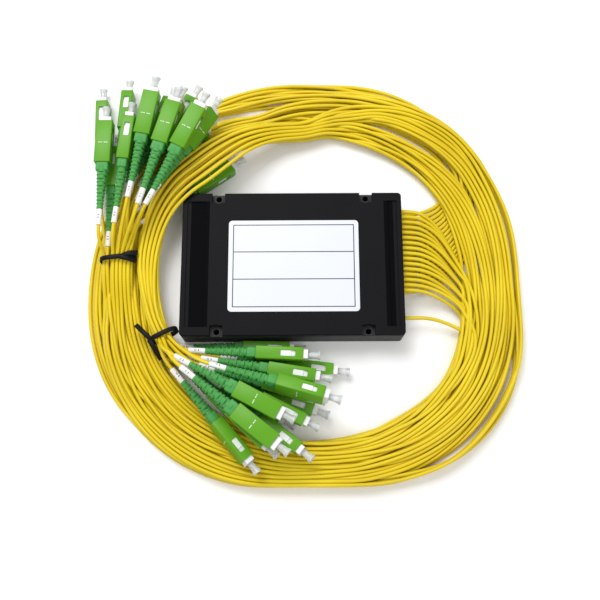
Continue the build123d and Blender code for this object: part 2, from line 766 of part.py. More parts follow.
# Tails, from the coil through the ties into the boots. Each has a hand-chosen lead out of the coil,
# in the order of the connectors' places, and ends straight along its connector's axis.
upper_leads = [
    [(-101.9, -20, 2.6), (-101.9, -6, 9.8), (-101.9, 7, 9.9)],
    [(-98.8, -20, 4.8), (-98.8, -6, 11.9), (-98.8, 7, 12)],
    [(-96.7, -20, 4.8), (-96.7, -6, 11.9), (-96.7, 7, 12)],
    [(-92.5, -20, 4.8), (-92.5, -6, 11.9), (-92.5, 7, 12)],
    [(-94.6, -20, 4.8), (-94.6, -6, 11.9), (-94.6, 7, 12)],
    [(-89.4, -20, 7), (-89.4, -6, 14), (-89.4, 7, 14.1)],
    [(-90.4, -20, 4.8), (-90.4, -6, 11.9), (-90.4, 7, 12)],
    [(-97.7, -20, 2.6), (-97.7, -6, 9.8), (-97.7, 7, 9.9)],
    [(-93.5, -20, 2.6), (-93.5, -6, 9.8), (-93.5, 7, 9.9)],
    [(-95.6, -20, 2.6), (-95.6, -6, 9.8), (-95.6, 7, 9.9)],
    [(-88.3, -20, 4.8), (-88.3, -6, 11.9), (-88.3, 7, 12)],
    [(-103, -20, 4.8), (-103, -6, 11.9), (-103, 7, 12)],
    [(-97.8, -20, 7), (-97.8, -6, 14), (-97.8, 7, 14.1)],
    [(-93.6, -20, 7), (-93.6, -6, 14), (-93.6, 7, 14.1)],
    [(-95.7, -20, 7), (-95.7, -6, 14), (-95.7, 7, 14.1)],
    [(-91.5, -20, 7), (-91.5, -6, 14), (-91.5, 7, 14.1)],
    [(-100.9, -20, 4.8), (-100.9, -6, 11.2)],
]
lower_leads = [
    [(-75.6, -29.6, 4.8)],
    [(-75.9, -33.4, 4.8), (-70.2, -45.1, 4.8)],
    [(-77.6, -36, 4.8), (-75.4, -43.4, 4.8), (-70.2, -47.6, 4.8)],
    [(-77.5, -37.3, 6.8), (-72, -49, 7), (-60.5, -52.5, 7.4)],
    [(-79.6, -37.6, 4.5), (-77.4, -44.6, 4.5), (-72.8, -48.8, 4.5)],
    [(-78, -27.1, 10.6)],
    [(-72.2, -24.2, 10.6)],
    [(-73.2, -24.7, 12.6), (-65.6, -39.9, 12.6)],
    [(-74.1, -25.2, 10.6), (-66.5, -40.4, 10.6)],
    [(-75.2, -25.7, 12.6), (-67.6, -40.9, 12.6)],
    [(-76, -26.1, 10.6), (-68.4, -41.3, 10.6)],
    [(-77, -26.6, 12.6), (-69.4, -41.8, 12.6)],
    [(-78.9, -27.6, 12.6), (-71.3, -42.8, 12.6)],
    [(-74, -25.1, 14.6), (-66.4, -40.3, 14.7)],
    [(-77.8, -27, 14.6), (-70.2, -42.2, 14.7)],
    [(-75.9, -26.1, 14.6), (-68.3, -41.3, 14.7)],
]


def tail_route(lead, plane):
    """A tail's route up to the mouth of its boot, and the place where it ends inside the boot."""
    bend = plane.from_local_coords((0, 0, boot_rear - tail_bend))
    mouth = plane.from_local_coords((0, 0, boot_rear - seat_gap))
    entry = plane.from_local_coords((0, 0, boot_rear + cord_entry))
    return lead + [tuple(bend), tuple(mouth)], tuple(entry)


upper_tail_routes = [tail_route(*pair) for pair in zip(upper_leads, upper_planes)]
lower_tail_routes = [tail_route(*pair) for pair in zip(lower_leads, lower_planes)]
upper_tail_wires = [route_wire(*route) for route in upper_tail_routes]
lower_tail_wires = [route_wire(*route) for route in lower_tail_routes]

with BuildPart() as upper_tails:
    for (points, _), wire in zip(upper_tail_routes, upper_tail_wires):
        with BuildSketch(start_plane(points)):
            Circle(cord_d / 2)
        sweep(path=wire)
save(upper_tails, "upper_tails")

with BuildPart() as lower_tails:
    for (points, _), wire in zip(lower_tail_routes, lower_tail_wires):
        with BuildSketch(start_plane(points)):
            Circle(cord_d / 2)
        sweep(path=wire)
save(lower_tails, "lower_tails")

# The tightest bend of each cord, which stays above about five cord diameters
for name, routes in (
    ("upper row", upper_row_routes),
    ("lower row", lower_row_routes),
    ("input", [input_route]),
    ("strand band", [strand_band_route]),
    ("upper tails", [points for points, _ in upper_tail_routes]),
    ("lower tails", [points for points, _ in lower_tail_routes]),
):
    tightest = [round(min(corner_radii(points)), 1) for points in routes]
    print(f"{name}: tightest bends in mm: {tightest}")

# Ties: a flat coated wire closed round each bundle of tails, with its two ends left over
tie_outer = tie_corner_r + tie_thickness
upper_tie_plane = Plane(origin=upper_tie_place, x_dir=(1, 0, 0), z_dir=(0, -1, 0))
lower_tie_plane = Plane(origin=lower_tie_place, x_dir=lower_tie_side, z_dir=lower_tie_way)
end_plane_shares = ((0.3, 18), (-0.3, -24))  # of the tie's width, and the end's heading in degrees

for plane, bundle_width, bundle_height, name in (
    (upper_tie_plane, upper_bundle_width, upper_bundle_height, "upper_tie"),
    (lower_tie_plane, lower_bundle_width, lower_bundle_height, "lower_tie"),
):
    with BuildPart() as tie:
        with BuildSketch(plane):
            RectangleRounded(
                bundle_width + 2 * tie_thickness, bundle_height + 2 * tie_thickness, tie_outer
            )
            RectangleRounded(bundle_width, bundle_height, tie_corner_r, mode=Mode.SUBTRACT)
        extrude(amount=tie_width / 2, both=True)
        top_plane = Plane(
            origin=plane.from_local_coords((0, bundle_height / 2 + tie_thickness, 0)),
            x_dir=plane.x_dir,
            z_dir=plane.y_dir,
        )
        with BuildSketch(top_plane):
            for place_share, heading in end_plane_shares:
                with Locations(Location((place_share * bundle_width, 0, 0), (0, 0, heading))):
                    Rectangle(tie_end_length, tie_end_width, align=(Align.MIN, Align.CENTER))
        extrude(amount=tie_thickness)
    save(tie, name)

for number, location in enumerate(connector_locations, start=1):
    with BuildPart() as grip:
        with Locations(location):
            add(grip_shape.part)
    save(grip, f"grip_{number:02d}")

for shape, name in (
    (body_shape, "connector_bodies"),
    (ferrule_shape, "ferrules"),
    (cap_shape, "dust_caps"),
    (crimp_shape, "crimp_bodies"),
    (boot_shape, "connector_boots"),
    (sleeve_shape, "number_sleeves"),
):
    with BuildPart() as group:
        with Locations(*connector_locations):
            add(shape.part)
    save(group, name)
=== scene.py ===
from math import atan2, cos, degrees, pi, radians, sin

import bmesh
import bpy
import numpy as np
from mathutils import Matrix, Vector


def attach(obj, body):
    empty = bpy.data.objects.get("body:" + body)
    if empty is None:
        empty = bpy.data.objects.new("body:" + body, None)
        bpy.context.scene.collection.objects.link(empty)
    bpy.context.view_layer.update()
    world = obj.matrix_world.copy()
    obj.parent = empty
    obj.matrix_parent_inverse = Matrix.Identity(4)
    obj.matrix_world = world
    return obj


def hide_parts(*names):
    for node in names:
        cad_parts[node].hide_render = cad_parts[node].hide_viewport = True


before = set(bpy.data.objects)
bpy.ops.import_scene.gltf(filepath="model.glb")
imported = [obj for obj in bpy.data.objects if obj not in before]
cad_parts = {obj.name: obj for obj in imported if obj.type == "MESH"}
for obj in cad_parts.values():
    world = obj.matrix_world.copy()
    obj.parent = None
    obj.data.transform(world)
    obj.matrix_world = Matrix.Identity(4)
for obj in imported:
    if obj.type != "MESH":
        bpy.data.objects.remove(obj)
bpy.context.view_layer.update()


# Camera, floor and light. The photograph looks down on the set from a little in front of it, and
# everything lies on a plain white table under soft light from all round.
mm = 0.001


def set_up(name, data):
    """A new object in the scene."""
    made = bpy.data.objects.new(name, data)
    bpy.context.scene.collection.objects.link(made)
    return made


camera_data = bpy.data.cameras.new("camera")
camera_data.lens = 46.8
camera_data.sensor_width = 36
camera_data.clip_end = 10
camera = set_up("camera", camera_data)
bpy.context.scene.camera = camera
# The camera's turn and its place in millimetres, fitted to the photograph
camera_turn = Matrix(
    (
        (0.99998, 0.00477, 0.00327),
        (-0.00385, 0.97073, -0.24014),
        (-0.00432, 0.24012, 0.97073),
    )
)
camera_place = Vector((5.51, -120.67, 421.49)) * mm
camera.matrix_world = Matrix.Translation(camera_place) @ camera_turn.to_4x4()


class Shade:
    """One value in a material's nodes. Operators add Math nodes, and node() adds any other kind."""

    def __init__(self, tree, socket=None):
        self.tree = tree
        self.socket = socket

    def node(self, kind, values=(), output=0, stops=None, **settings):
        """Any node, from its type, its settings, and the values or links of its sockets."""
        made = self.tree.nodes.new(kind)
        for key, setting in settings.items():
            setattr(made, key, setting)
        if stops:
            ramp = made.color_ramp
            while len(ramp.elements) < len(stops):
                ramp.elements.new(0.5)
            for element, (place, colour) in zip(ramp.elements, stops):
                element.position = place
                element.color = (*colour, 1) if len(colour) == 3 else colour
        for key, value in dict(values).items():
            if isinstance(value, Shade):
                self.tree.links.new(value.socket, made.inputs[key])
            else:
                made.inputs[key].default_value = value
        return Shade(self.tree, made.outputs[output] if made.outputs else None)

    def math(self, operation, first, second=0.0):
        return self.node("ShaderNodeMath", {0: first, 1: second}, operation=operation)

    def __add__(self, other):
        return self.math("ADD", self, other)

    def __radd__(self, other):
        return self.math("ADD", other, self)

    def __sub__(self, other):
        return self.math("SUBTRACT", self, other)

    def __rsub__(self, other):
        return self.math("SUBTRACT", other, self)

    def __mul__(self, other):
        return self.math("MULTIPLY", self, other)

    def __rmul__(self, other):
        return self.math("MULTIPLY", other, self)

    def __lt__(self, other):
        return self.math("LESS_THAN", self, other)

    def __gt__(self, other):
        return self.math("GREATER_THAN", self, other)

    def size(self):
        return self.math("ABSOLUTE", self)

    def mix(self, first, second):
        """first where this is 0, and second where it is 1."""
        colours = {0: self, 6: first, 7: second}
        return self.node("ShaderNodeMix", colours, output=2, data_type="RGBA")


def new_material(name):
    """An empty material and the value that its nodes grow from."""
    material = bpy.data.materials.new(name)
    material.use_nodes = True
    material.node_tree.nodes.clear()
    return material, Shade(material.node_tree)


def finish_material(shade, values, height=None, bump=0.2, bump_distance=0.0001):
    """The one surface shader of a material, with a bump from height."""
    values = dict(values)
    if height is not None:
        values["Normal"] = shade.node(
            "ShaderNodeBump", {"Strength": bump, "Distance": bump_distance, "Height": height}
        )
    surface = shade.node("ShaderNodeBsdfPrincipled", values)
    shade.node("ShaderNodeOutputMaterial", {"Surface": surface})


def noise(shade, place, scale, detail=2.0):
    """Soft patches, or a grain where the scale is large."""
    return shade.node("ShaderNodeTexNoise", {"Vector": place, "Scale": scale, "Detail": detail})


def object_place(shade):
    """A place on a piece in its object's metres."""
    return shade.node("ShaderNodeTexCoord", output=3)


table_paint, shade = new_material("table_paint")
table_place = object_place(shade)
table_tone = noise(shade, table_place, 3.0)
finish_material(
    shade,
    {
        "Base Color": table_tone.mix((0.93, 0.93, 0.93, 1), (0.96, 0.96, 0.96, 1)),
        "Roughness": 0.85 + 0.1 * noise(shade, table_place, 40.0),
    },
)
table_half = 6.0
table_mesh = bmesh.new()
bmesh.ops.create_grid(table_mesh, x_segments=1, y_segments=1, size=table_half)
table_data = bpy.data.meshes.new("table")
table_mesh.to_mesh(table_data)
table_mesh.free()
table_data.materials.append(table_paint)
set_up("table", table_data)

room_light = 0.52
world = bpy.data.worlds.new("studio")
world.use_nodes = True
world.node_tree.nodes["Background"].inputs[0].default_value = (1, 1, 1, 1)
world.node_tree.nodes["Background"].inputs[1].default_value = room_light
bpy.context.scene.world = world
for name, place, size, power in (
    ("key", (-0.3, 0.5, 0.9), 0.6, 9.0),
    ("fill", (0.55, -0.5, 0.9), 0.9, 4.2),
):
    lamp_data = bpy.data.lights.new(name, "AREA")
    lamp_data.size = size
    lamp_data.energy = power
    lamp = set_up(name, lamp_data)
    lamp.location = place
    lamp.rotation_euler = (-Vector(place)).to_track_quat("-Z", "Y").to_euler()
bpy.context.scene.view_settings.view_transform = "Standard"


# Cords. Each of the 33 is a fibre in a soft yellow 2 mm jacket, about a metre long. The upper row and
# the input cord turn clockwise and the lower row the other way, and all lie in one coil about the box.
# Lengths are in millimetres here and angles in degrees.
cord_r = 1.0
row_count = 16
# Out of the end wall and down to the coil: the first and last cord of each row, and the input cord
first_upper_route = [(57.9, 31, 12), (63, 31, 12), (72, 30, 11.8), (81, 23, 9.6), (88.5, 11, 5.8)]
last_upper_route = [(57.9, -14, 12), (63, -14, 12), (72, -14.8, 11.2), (81.5, -18.2, 9), (91.5, -24, 5.8)]
first_lower_route = [(57.9, 31, 6), (62.5, 31, 6), (70, 32, 4), (77.5, 35.2, 1.8), (84.5, 39.6, 1.2)]
last_lower_route = [(57.9, -14, 6), (62.5, -14, 6), (72, -12.2, 3.4), (83, -5.8, 1.4), (95.5, 5, 1.2)]
input_route = [(57.9, -29, 9), (63, -29, 9), (73.5, -28.8, 8.6), (84, -31.4, 6.8), (94.5, -36.5, 4.6)]
route_count = len(input_route)
# The cords of the upper row come down to three levels in turn
level_rise = 2.25
half_rise_share = 0.62
# The middle of the band in which the lower cords pass over the upper bunch and the box's corner
band_route = [
    (7.5, 81.5, 7.2), (-10.0, 80.0, 10.4), (-26.0, 74.5, 15.8), (-39.2, 66.0, 18.2), (-52.0, 55.6, 18.3),
    (-64.0, 45.4, 18.3), (-72.9, 31.0, 16.4), (-77.6, 15.5, 13.2), (-79.4, -1.0, 12.6),
]
# From the coil to the back of each connector
upper_leads = [
    [(x, y, z) for y, z in zip((-20, -6, 7), heights)]
    for x, *heights in (
        (-101.9, 2.6, 9.8, 9.9), (-98.8, 4.8, 11.9, 12), (-96.7, 4.8, 11.9, 12),
        (-92.5, 4.8, 11.9, 12), (-94.6, 4.8, 11.9, 12), (-89.4, 7, 14, 14.1),
        (-90.4, 4.8, 11.9, 12), (-97.7, 2.6, 9.8, 9.9), (-93.5, 2.6, 9.8, 9.9),
        (-95.6, 2.6, 9.8, 9.9), (-88.3, 4.8, 11.9, 12), (-103, 4.8, 11.9, 12),
        (-97.8, 7, 14, 14.1), (-93.6, 7, 14, 14.1), (-95.7, 7, 14, 14.1),
        (-91.5, 7, 14, 14.1), (-100.9, 4.8, 11.2),
    )
]
lower_leads = [
    [(-75.6, -29.6, 4.8)],
    [(-75.9, -33.4, 4.8), (-70.2, -45.1, 4.8)],
    [(-77.6, -36, 4.8), (-75.4, -43.4, 4.8), (-70.2, -47.6, 4.8)],
    [(-77.5, -37.3, 6.8), (-72, -49, 7), (-60.5, -52.5, 7.4)],
    [(-79.6, -37.6, 4.5), (-77.4, -44.6, 4.5), (-72.8, -48.8, 4.5)],
    [(-78, -27.1, 10.6)],
    [(-72.2, -24.2, 10.6)],
    [(-73.2, -24.7, 12.6), (-65.6, -39.9, 12.6)],
    [(-74.1, -25.2, 10.6), (-66.5, -40.4, 10.6)],
    [(-75.2, -25.7, 12.6), (-67.6, -40.9, 12.6)],
    [(-76, -26.1, 10.6), (-68.4, -41.3, 10.6)],
    [(-77, -26.6, 12.6), (-69.4, -41.8, 12.6)],
    [(-78.9, -27.6, 12.6), (-71.3, -42.8, 12.6)],
    [(-74, -25.1, 14.6), (-66.4, -40.3, 14.7)],
    [(-77.8, -27, 14.6), (-70.2, -42.2, 14.7)],
    [(-75.9, -26.1, 14.6), (-68.3, -41.3, 14.7)],
]
# Where each lower cord lies in the band of strands over the upper bunch, across it and up
band_places = [
    (4.2, -2.05), (2.1, -2.05), (0, -2.05), (-2.1, -2.05), (-4.2, -2.05), (-3.15, 0), (5.25, 0),
    (3.15, 0), (1.05, 0), (2.1, 2.05), (-1.05, 0), (-2.1, 2.05), (-5.25, 0), (4.2, 2.05), (-4.2, 2.05),
    (0, 2.05),
]
coil_radius = 105.0
# The front of each connector's grip, as shares of the coil's radius, then its heading, rise and roll
upper_place_shares = (
    (-1.056, 0.969, 0.047, 92, 0, 90),
    (-0.906, 0.999, 0.093, 89, -8, 90),
    (-0.801, 0.951, 0.075, 81, -4.5, 90),
    (-0.682, 0.97, 0.07, 72.5, -9, 90),
    (-0.549, 0.957, 0.113, 62.5, -0.5, 90),
    (-0.433, 0.838, 0.205, 59, -3.2, 60),
    (-0.747, 0.956, 0.202, 80, 0.5, 90),
    (-0.481, 0.773, 0.103, 48.5, 0, 0),
    (-0.335, 0.588, 0.039, 36, -4.5, 0),
    (-0.391, 0.68, 0.105, 39.5, 0.5, 0),
    (-0.606, 0.886, 0.22, 69, 5, 90),
    (-0.998, 0.784, 0.185, 89.5, -0.5, 0),
    (-0.857, 0.784, 0.23, 84, 1.5, 90),
    (-0.616, 0.836, 0.301, 73.5, 0.5, 0),
    (-0.733, 0.898, 0.295, 79, 3.5, 0),
    (-0.48, 0.798, 0.323, 62.5, 5, 0),
    (-0.976, 0.684, 0.055, 91, -6.5, 90),
)
lower_place_shares = (
    (-0.015, -0.429, 0.046, -1.5, 0, 90),
    (0.207, -0.541, 0.047, -7, 0, 90),
    (0.019, -0.608, 0.046, -13, 0, 90),
    (0.104, -0.741, 0.046, -20, 0, 90),
    (-0.061, -0.786, 0.048, -28, 0.5, 90),
    (-0.235, -0.826, 0.134, -43.5, 2.5, 90),
    (0.056, -0.477, 0.148, -3, 2, 90),
    (0.115, -0.584, 0.144, -9.5, 1, 90),
    (0.084, -0.688, 0.159, -17, 4.5, 90),
    (0.056, -0.802, 0.15, -26.5, -5.5, 90),
    (0.031, -0.94, 0.168, -38.5, 7, 90),
    (-0.131, -0.922, 0.23, -43.5, 2, 90),
    (-0.223, -0.989, 0.152, -49.5, -0.5, 70),
    (0.155, -0.695, 0.262, -16, 2, 70),
    (-0.063, -0.774, 0.264, -28.5, 1, 0),
    (-0.082, -0.918, 0.316, -38.5, 2.5, 0),
)


def connector_frame(place):
    """A connector's matrix: its Z is its way forward, and its origin the grip's front, in metres."""
    x_share, y_share, z_share, heading, rise, roll = place
    forward = Vector(
        (
            cos(radians(heading)) * cos(radians(rise)),
            sin(radians(heading)) * cos(radians(rise)),
            sin(radians(rise)),
        )
    )
    flat_side = Vector((-sin(radians(heading)), cos(radians(heading)), 0))
    flat_top = forward.cross(flat_side)
    side = flat_side * cos(radians(roll)) + flat_top * sin(radians(roll))
    turn = Matrix((side, forward.cross(side), forward)).transposed()
    origin = Vector((x_share, y_share, z_share)) * coil_radius * mm
    return Matrix.Translation(origin) @ turn.to_4x4()


upper_frames = [connector_frame(place) for place in upper_place_shares]
lower_frames = [connector_frame(place) for place in lower_place_shares]


def blend(first, last, share):
    """A route between two others."""
    return [tuple(a + (b - a) * share for a, b in zip(p, q)) for p, q in zip(first, last)]


def upper_route(index):
    """An output cord's way from the upper row to the coil."""
    route = blend(first_upper_route, last_upper_route, index / (row_count - 1))
    rise = (index % 3 - 1) * level_rise
    route[3] = (route[3][0], route[3][1], route[3][2] + rise * half_rise_share)
    route[4] = (route[4][0], route[4][1], route[4][2] + rise)
    return route


# Where a cord's last points lie, from its grip's front: behind the sleeve, behind the boot and in it
tail_places = (-68.5, -52.1, -35.0)


def tail_end(turn):
    """The last points of a cord, straight behind its connector and into the boot."""
    return [tuple(turn @ Vector((0, 0, z * mm)) / mm) for z in tail_places]


# The coil's middle, and its edges, each an angle about the middle and a share of the coil's radius
coil_x, coil_y = 7.0, -9.0
coil_outer_shares = (
    (0, 1.14), (26, 1.17), (40, 1.20), (55, 1.235), (70, 1.225), (81, 1.20), (95, 1.185), (110, 1.19),
    (125, 1.15), (150, 1.14), (172, 1.17), (200, 1.17), (220, 1.14), (235, 1.125), (250, 1.09),
    (270, 1.05), (285, 1.09), (300, 1.14), (312, 1.195), (326, 1.22), (340, 1.18),
)
coil_inner_shares = (
    (0, 0.80), (13, 0.81), (28, 0.86), (52, 0.85), (78, 0.85), (102, 0.88), (124, 0.93), (146, 0.93),
    (163, 0.88), (180, 0.80), (204, 0.80), (229, 0.80), (254, 0.81), (280, 0.81), (303, 0.83),
    (324, 0.87), (344, 0.84),
)
# Where the cords part and the table shows: two angles, how far the parting lies from the coil's
# middle at each, and how wide it is
partings = (
    (-4, 32, 114.0, 118.5, 2.4),
    (35, 73, 107.8, 103.8, 3.6),
    (98, 123, 102.5, 118.5, 3.0),
    (169, 208, 123.5, 119.0, 1.5),
    (307, 345, 121.5, 121.5, 2.2),
)
# The strands are settled at stations all round the coil, one step apart
stations = 48
step = 360 / stations


def round_coil(point):
    """A point's angle about the coil's middle in degrees, its distance from there, and its height."""
    x, y, z = point[0] - coil_x, point[1] - coil_y, point[2]
    return degrees(atan2(y, x)), (x * x + y * y) ** 0.5, z


def edge_at(angle, shares):
    """How far an edge of the coil lies from its middle at an angle."""
    angles, values = zip(*shares)
    return np.interp(np.asarray(angle) % 360, angles, values, period=360) * coil_radius


# How far from the coil's middle a cord's own line may lie: right, left, rear and front
room_right, room_left, room_rear, room_front = 117.0, 120.4, 121.9, 107.9


def room_at(angle):
    """How far out a strand may lie at an angle, for the whole coil to keep to its own size."""
    way_x, way_y = np.cos(np.radians(angle)), np.sin(np.radians(angle))
    room_x = np.where(way_x > 0, room_right, room_left) / np.maximum(abs(way_x), 0.01)
    room_y = np.where(way_y > 0, room_rear, room_front) / np.maximum(abs(way_y), 0.01)
    return np.minimum(room_x, room_y)


sharp_turn = 0.5  # in radians
turn_in_step = 7.0  # for each radian of the turn


def turned_in(route, is_upper):
    """A cord's route, with two more points where it has to turn sharply into the coil's direction."""
    (from_x, from_y, _), (x, y, z) = route[-2:]
    heading = atan2(y - from_y, x - from_x)
    along = atan2(y - coil_y, x - coil_x) + (-pi / 2 if is_upper else pi / 2)
    turn = (along - heading + pi) % (2 * pi) - pi
    points = list(route)
    if abs(turn) > sharp_turn:
        for share in (1 / 3, 2 / 3):
            x += turn_in_step * abs(turn) * cos(heading + share * turn)
            y += turn_in_step * abs(turn) * sin(heading + share * turn)
            points.append((x, y, z))
    return points


# Which connector each cord goes to: the outermost strands go to the outermost leads
upper_order = sorted(range(row_count + 1), key=lambda i: upper_leads[i][0][0])
lower_order = sorted(range(row_count), key=lambda i: (-band_places[i][0], band_places[i][1]))
# How a cord lies across the coil, 0 at the inner edge and 1 at the outer, as it goes round: the degrees
# gone, the innermost cord's place, and how much further out the outermost one lies
upper_across = (
    (0, 0.02, 0.25), (60, 0.02, 0.6), (180, 0.04, 0.6), (270, 0.10, 0.74), (360, 0.36, 0.64),
    (450, 0.42, 0.58), (530, 0.36, 0.42),
)
lower_across = (
    (0, 0.30, -0.05), (45, 0.04, 1.02), (180, 0.02, 1.0), (270, 0.04, 0.96), (360, 0.08, 0.8),
    (410, 0.05, 0.5), (440, 0.02, 0.34),
)
# How high it lies, after the degrees gone
upper_heights = ((40, 3.2), (300, 3.4), (380, 5.6), (500, 5.6), (530, 6))
lower_heights = ((0, 1.2), (200, 1.1), (300, 1.3), (350, 5.2), (420, 6.4), (440, 6.8))
run_in = 5  # between a cord's route and its first or last station
lower_end = 442.5  # where the lower cords rise into the band


def across_coil(gone, table, out):
    """A cord's place across the coil after each of the degrees gone, out being 1 for the outermost."""
    angles, innermost, more = np.transpose(table)
    return np.interp(gone, angles, innermost + more * out)


# For each cord: its number, its connector, its route to the coil, its stations, its place across the
# coil and its height at each, and whether it goes to the upper bunch
strands = []
for index, ending in enumerate(upper_order):
    route = turned_in(upper_route(index) if index < row_count else input_route, True)
    entry = round_coil(route[-1])[0]
    start = np.floor((entry - run_in) / step)
    end = np.ceil((round_coil(upper_leads[ending][0])[0] % 360 - 720 + run_in) / step)
    steps = np.arange(start, end - 1, -1)
    gone = entry - steps * step
    across = across_coil(gone, upper_across, 1 - index / row_count)
    height = np.interp(gone, *zip((0, route[-1][2]), *upper_heights))
    strands.append([index, ending, route, steps, across, height, True])
for index, ending in enumerate(lower_order):
    way = blend(first_lower_route, last_lower_route, index / (row_count - 1))
    route = turned_in(way, False)
    entry = round_coil(route[-1])[0]
    start = np.ceil((entry + run_in) / step)
    steps = np.arange(start, int(lower_end / step) + 1)
    gone = steps * step - entry
    across = across_coil(gone, lower_across, index / (row_count - 1))
    height = np.interp(gone, *zip(*lower_heights))
    strands.append([index, ending, route, steps, across, height, False])

# Every place that a cord passes at a station: the loose ones, which settle, and those that stay, where
# cords come in, rise and leave
place_station, place_r, place_z, place_u, before, after, loose = [], [], [], [], [], [], []
strand_rows, strand_angles = [], []


def add_place(station, r, z, u, is_loose):
    """Notes a place with its radius, height and share across the coil, and gives its row."""
    place_station.append(int(round(station)) % stations)
    place_r.append(r)
    place_z.append(z)
    place_u.append(u)
    before.append(-1)
    after.append(-1)
    loose.append(is_loose)
    return len(place_station) - 1


# Over the box's corner the top cords lie loose and further in, clear above the box, and those under
# them lie further out: how much wider, and how far to the side, at each point of the band's route
top_spread = (1, 1.1, 1.45, 1.75, 1.85, 1.7, 1.35, 1.1, 1)
top_shift = (0, 0.6, 1.8, 2.8, 2.8, 2.2, 1.0, 0.3, 0)
under_spread = (1, 1.05, 1.15, 1.3, 1.35, 1.3, 1.1, 1, 1)
under_shift = (0, -0.2, -0.8, -1.6, -1.9, -1.6, -0.5, 0, 0)


def band_point(index, side, rise):
    """A cord's place at one of the band route's points."""
    if rise > 1:
        side = side * top_spread[index] + top_shift[index]
    else:
        side = side * under_spread[index] + under_shift[index]
    here = Vector(band_route[index])
    ahead = Vector(band_route[min(index + 1, len(band_route) - 1)])
    back = Vector(band_route[max(index - 1, 0)])
    heading = (ahead - back).normalized()
    inward = Vector((0, 0, 1)).cross(heading).normalized()
    return tuple(here + inward * side + Vector((0, 0, rise)))


# A cord wanders across the coil in a long and a short wave, as shares of the coil's width, and up and
# down in one, less near its ends. It starts a little further out than its route comes in.
long_wander, short_wander = 0.10, 0.045
lowest_layer, highest_layer, height_wander = -1.6, 3.6, 1.2
end_places = 6  # over which the waves grow from nothing
entry_lean, entry_reach = 0.11, 45
coil_height = 8.0
rng = np.random.default_rng(7)
for index, ending, route, steps, across, height, is_upper in strands:
    inner = edge_at(steps * step, coil_inner_shares) + cord_r
    outer = np.minimum(edge_at(steps * step, coil_outer_shares) - cord_r, room_at(steps * step))
    turned_by = radians(1) * steps * step
    wander = long_wander * np.sin(turned_by * rng.uniform(0.6, 1.5) + rng.uniform(0, 2 * pi))
    wander += short_wander * np.sin(turned_by * rng.uniform(2, 3.4) + rng.uniform(0, 2 * pi))
    from_end = np.minimum(np.arange(len(steps)), np.arange(len(steps))[::-1])
    fade = np.clip(from_end / end_places, 0, 1)
    came_in = (round_coil(route[-1])[1] - inner[0]) / (outer[0] - inner[0]) + entry_lean
    near = np.clip(1 - abs(steps - steps[0]) * step / entry_reach, 0, 1)
    want = np.clip(across + wander * fade + (came_in - across[0]) * near, 0, 1)
    height = height + fade * rng.uniform(lowest_layer, highest_layer)
    wave = np.sin(turned_by * rng.uniform(1, 2.2) + rng.uniform(0, 2 * pi))
    height = height + fade * height_wander * wave
    angle, away, rise = round_coil(route[route_count - 1])
    first = add_place(round(angle / step), away, rise, 0, False)
    rows, angles = [], []
    for point in route[route_count:]:
        angle, away, rise = round_coil(point)
        share = (away - inner[0]) / (outer[0] - inner[0])
        rows.append(add_place(round(angle / step), away, rise, share, True))
        angles.append(angle)
    rows += [
        add_place(s, i + w * (o - i), h, w, True)
        for s, i, o, w, h in zip(steps, inner, outer, want, height)
    ]
    angles += list(steps * step)
    if is_upper:
        last_point = round_coil(upper_leads[ending][0])
    else:
        last_point = round_coil(band_point(0, *band_places[ending]))
    last = add_place(round(last_point[0] / step), *last_point[1:], 0, False)
    chain = [first, *rows, last]
    for a, b in zip(chain, chain[1:]):
        after[a] = b
        before[b] = a
    strand_rows.append(rows)
    strand_angles.append(angles)
    if not is_upper:
        for k in range(1, len(band_route)):
            angle, away, rise = round_coil(band_point(k, *band_places[ending]))
            add_place(round(angle / step), away, rise, 0, False)
        if lower_leads[ending][0][2] < coil_height:
            for point in lower_leads[ending]:
                angle, away, rise = round_coil(point)
                add_place(round(angle / step), away, rise, 0, False)

place_station = np.array(place_station)
r = np.array(place_r, float)
z = np.array(place_z, float)
u = np.array(place_u, float)
before, after, loose = np.array(before), np.array(after), np.array(loose)
inner = edge_at(place_station * step, coil_inner_shares) + cord_r
outer = edge_at(place_station * step, coil_outer_shares) - cord_r
outer = np.minimum(outer, room_at(place_station * step))
# Under the upper bunch the coil lies lower
low_from, low_to, low_height = 101, 164, 5.5
low = (place_station * step > low_from) & (place_station * step < low_to)
roof = np.where(low, low_height, coil_height)
wanted = inner + u * (outer - inner)
# Each cord passes a parting on the side that most of its places there want
parting_r = np.full(len(r), -100.0)
parting_half = np.zeros(len(r))
parting_side = np.ones(len(r))
for start, end, start_r, end_r, width in partings:
    share = ((place_station * step - start) % 360) / (end - start)
    there = share < 1
    parting_r[there] = start_r + (end_r - start_r) * share[there]
    parting_half[there] = width / 2 * np.sin(pi * share[there]) ** 0.5 + cord_r
    for rows in strand_rows:
        passing = [row for row in rows if there[row]]
        while passing:
            run = [row for row in passing if row - passing[0] < (end - start) / step]
            offset = sum(wanted[row] - parting_r[row] for row in run)
            parting_side[run] = -1 if offset < 0 else 1
            passing = passing[len(run) :]
groups = [np.flatnonzero(place_station == s) for s in range(stations)]
# The stretches from one station to the next, by the place half-way between
ahead_by = (place_station[after] - place_station + stations // 2) % stations - stations // 2
halfway = (2 * place_station + ahead_by) % (2 * stations)
halfway = np.where((after >= 0) & (abs(ahead_by) == 1), halfway, -1)
stretches = [np.flatnonzero(halfway == h) for h in range(1, 2 * stations, 2)]


def pushed(r_here, z_here, apart):
    """How much each place gives way to the others that lie too near, as a table of shares."""
    dr = r_here[:, None] - r_here[None, :]
    dz = z_here[:, None] - z_here[None, :]
    gap = np.sqrt(dr * dr + dz * dz) + 1e-6
    push = np.where(gap < apart, (apart - gap) / gap, 0) * 0.5
    np.fill_diagonal(push, 0)
    return push, dr, dz


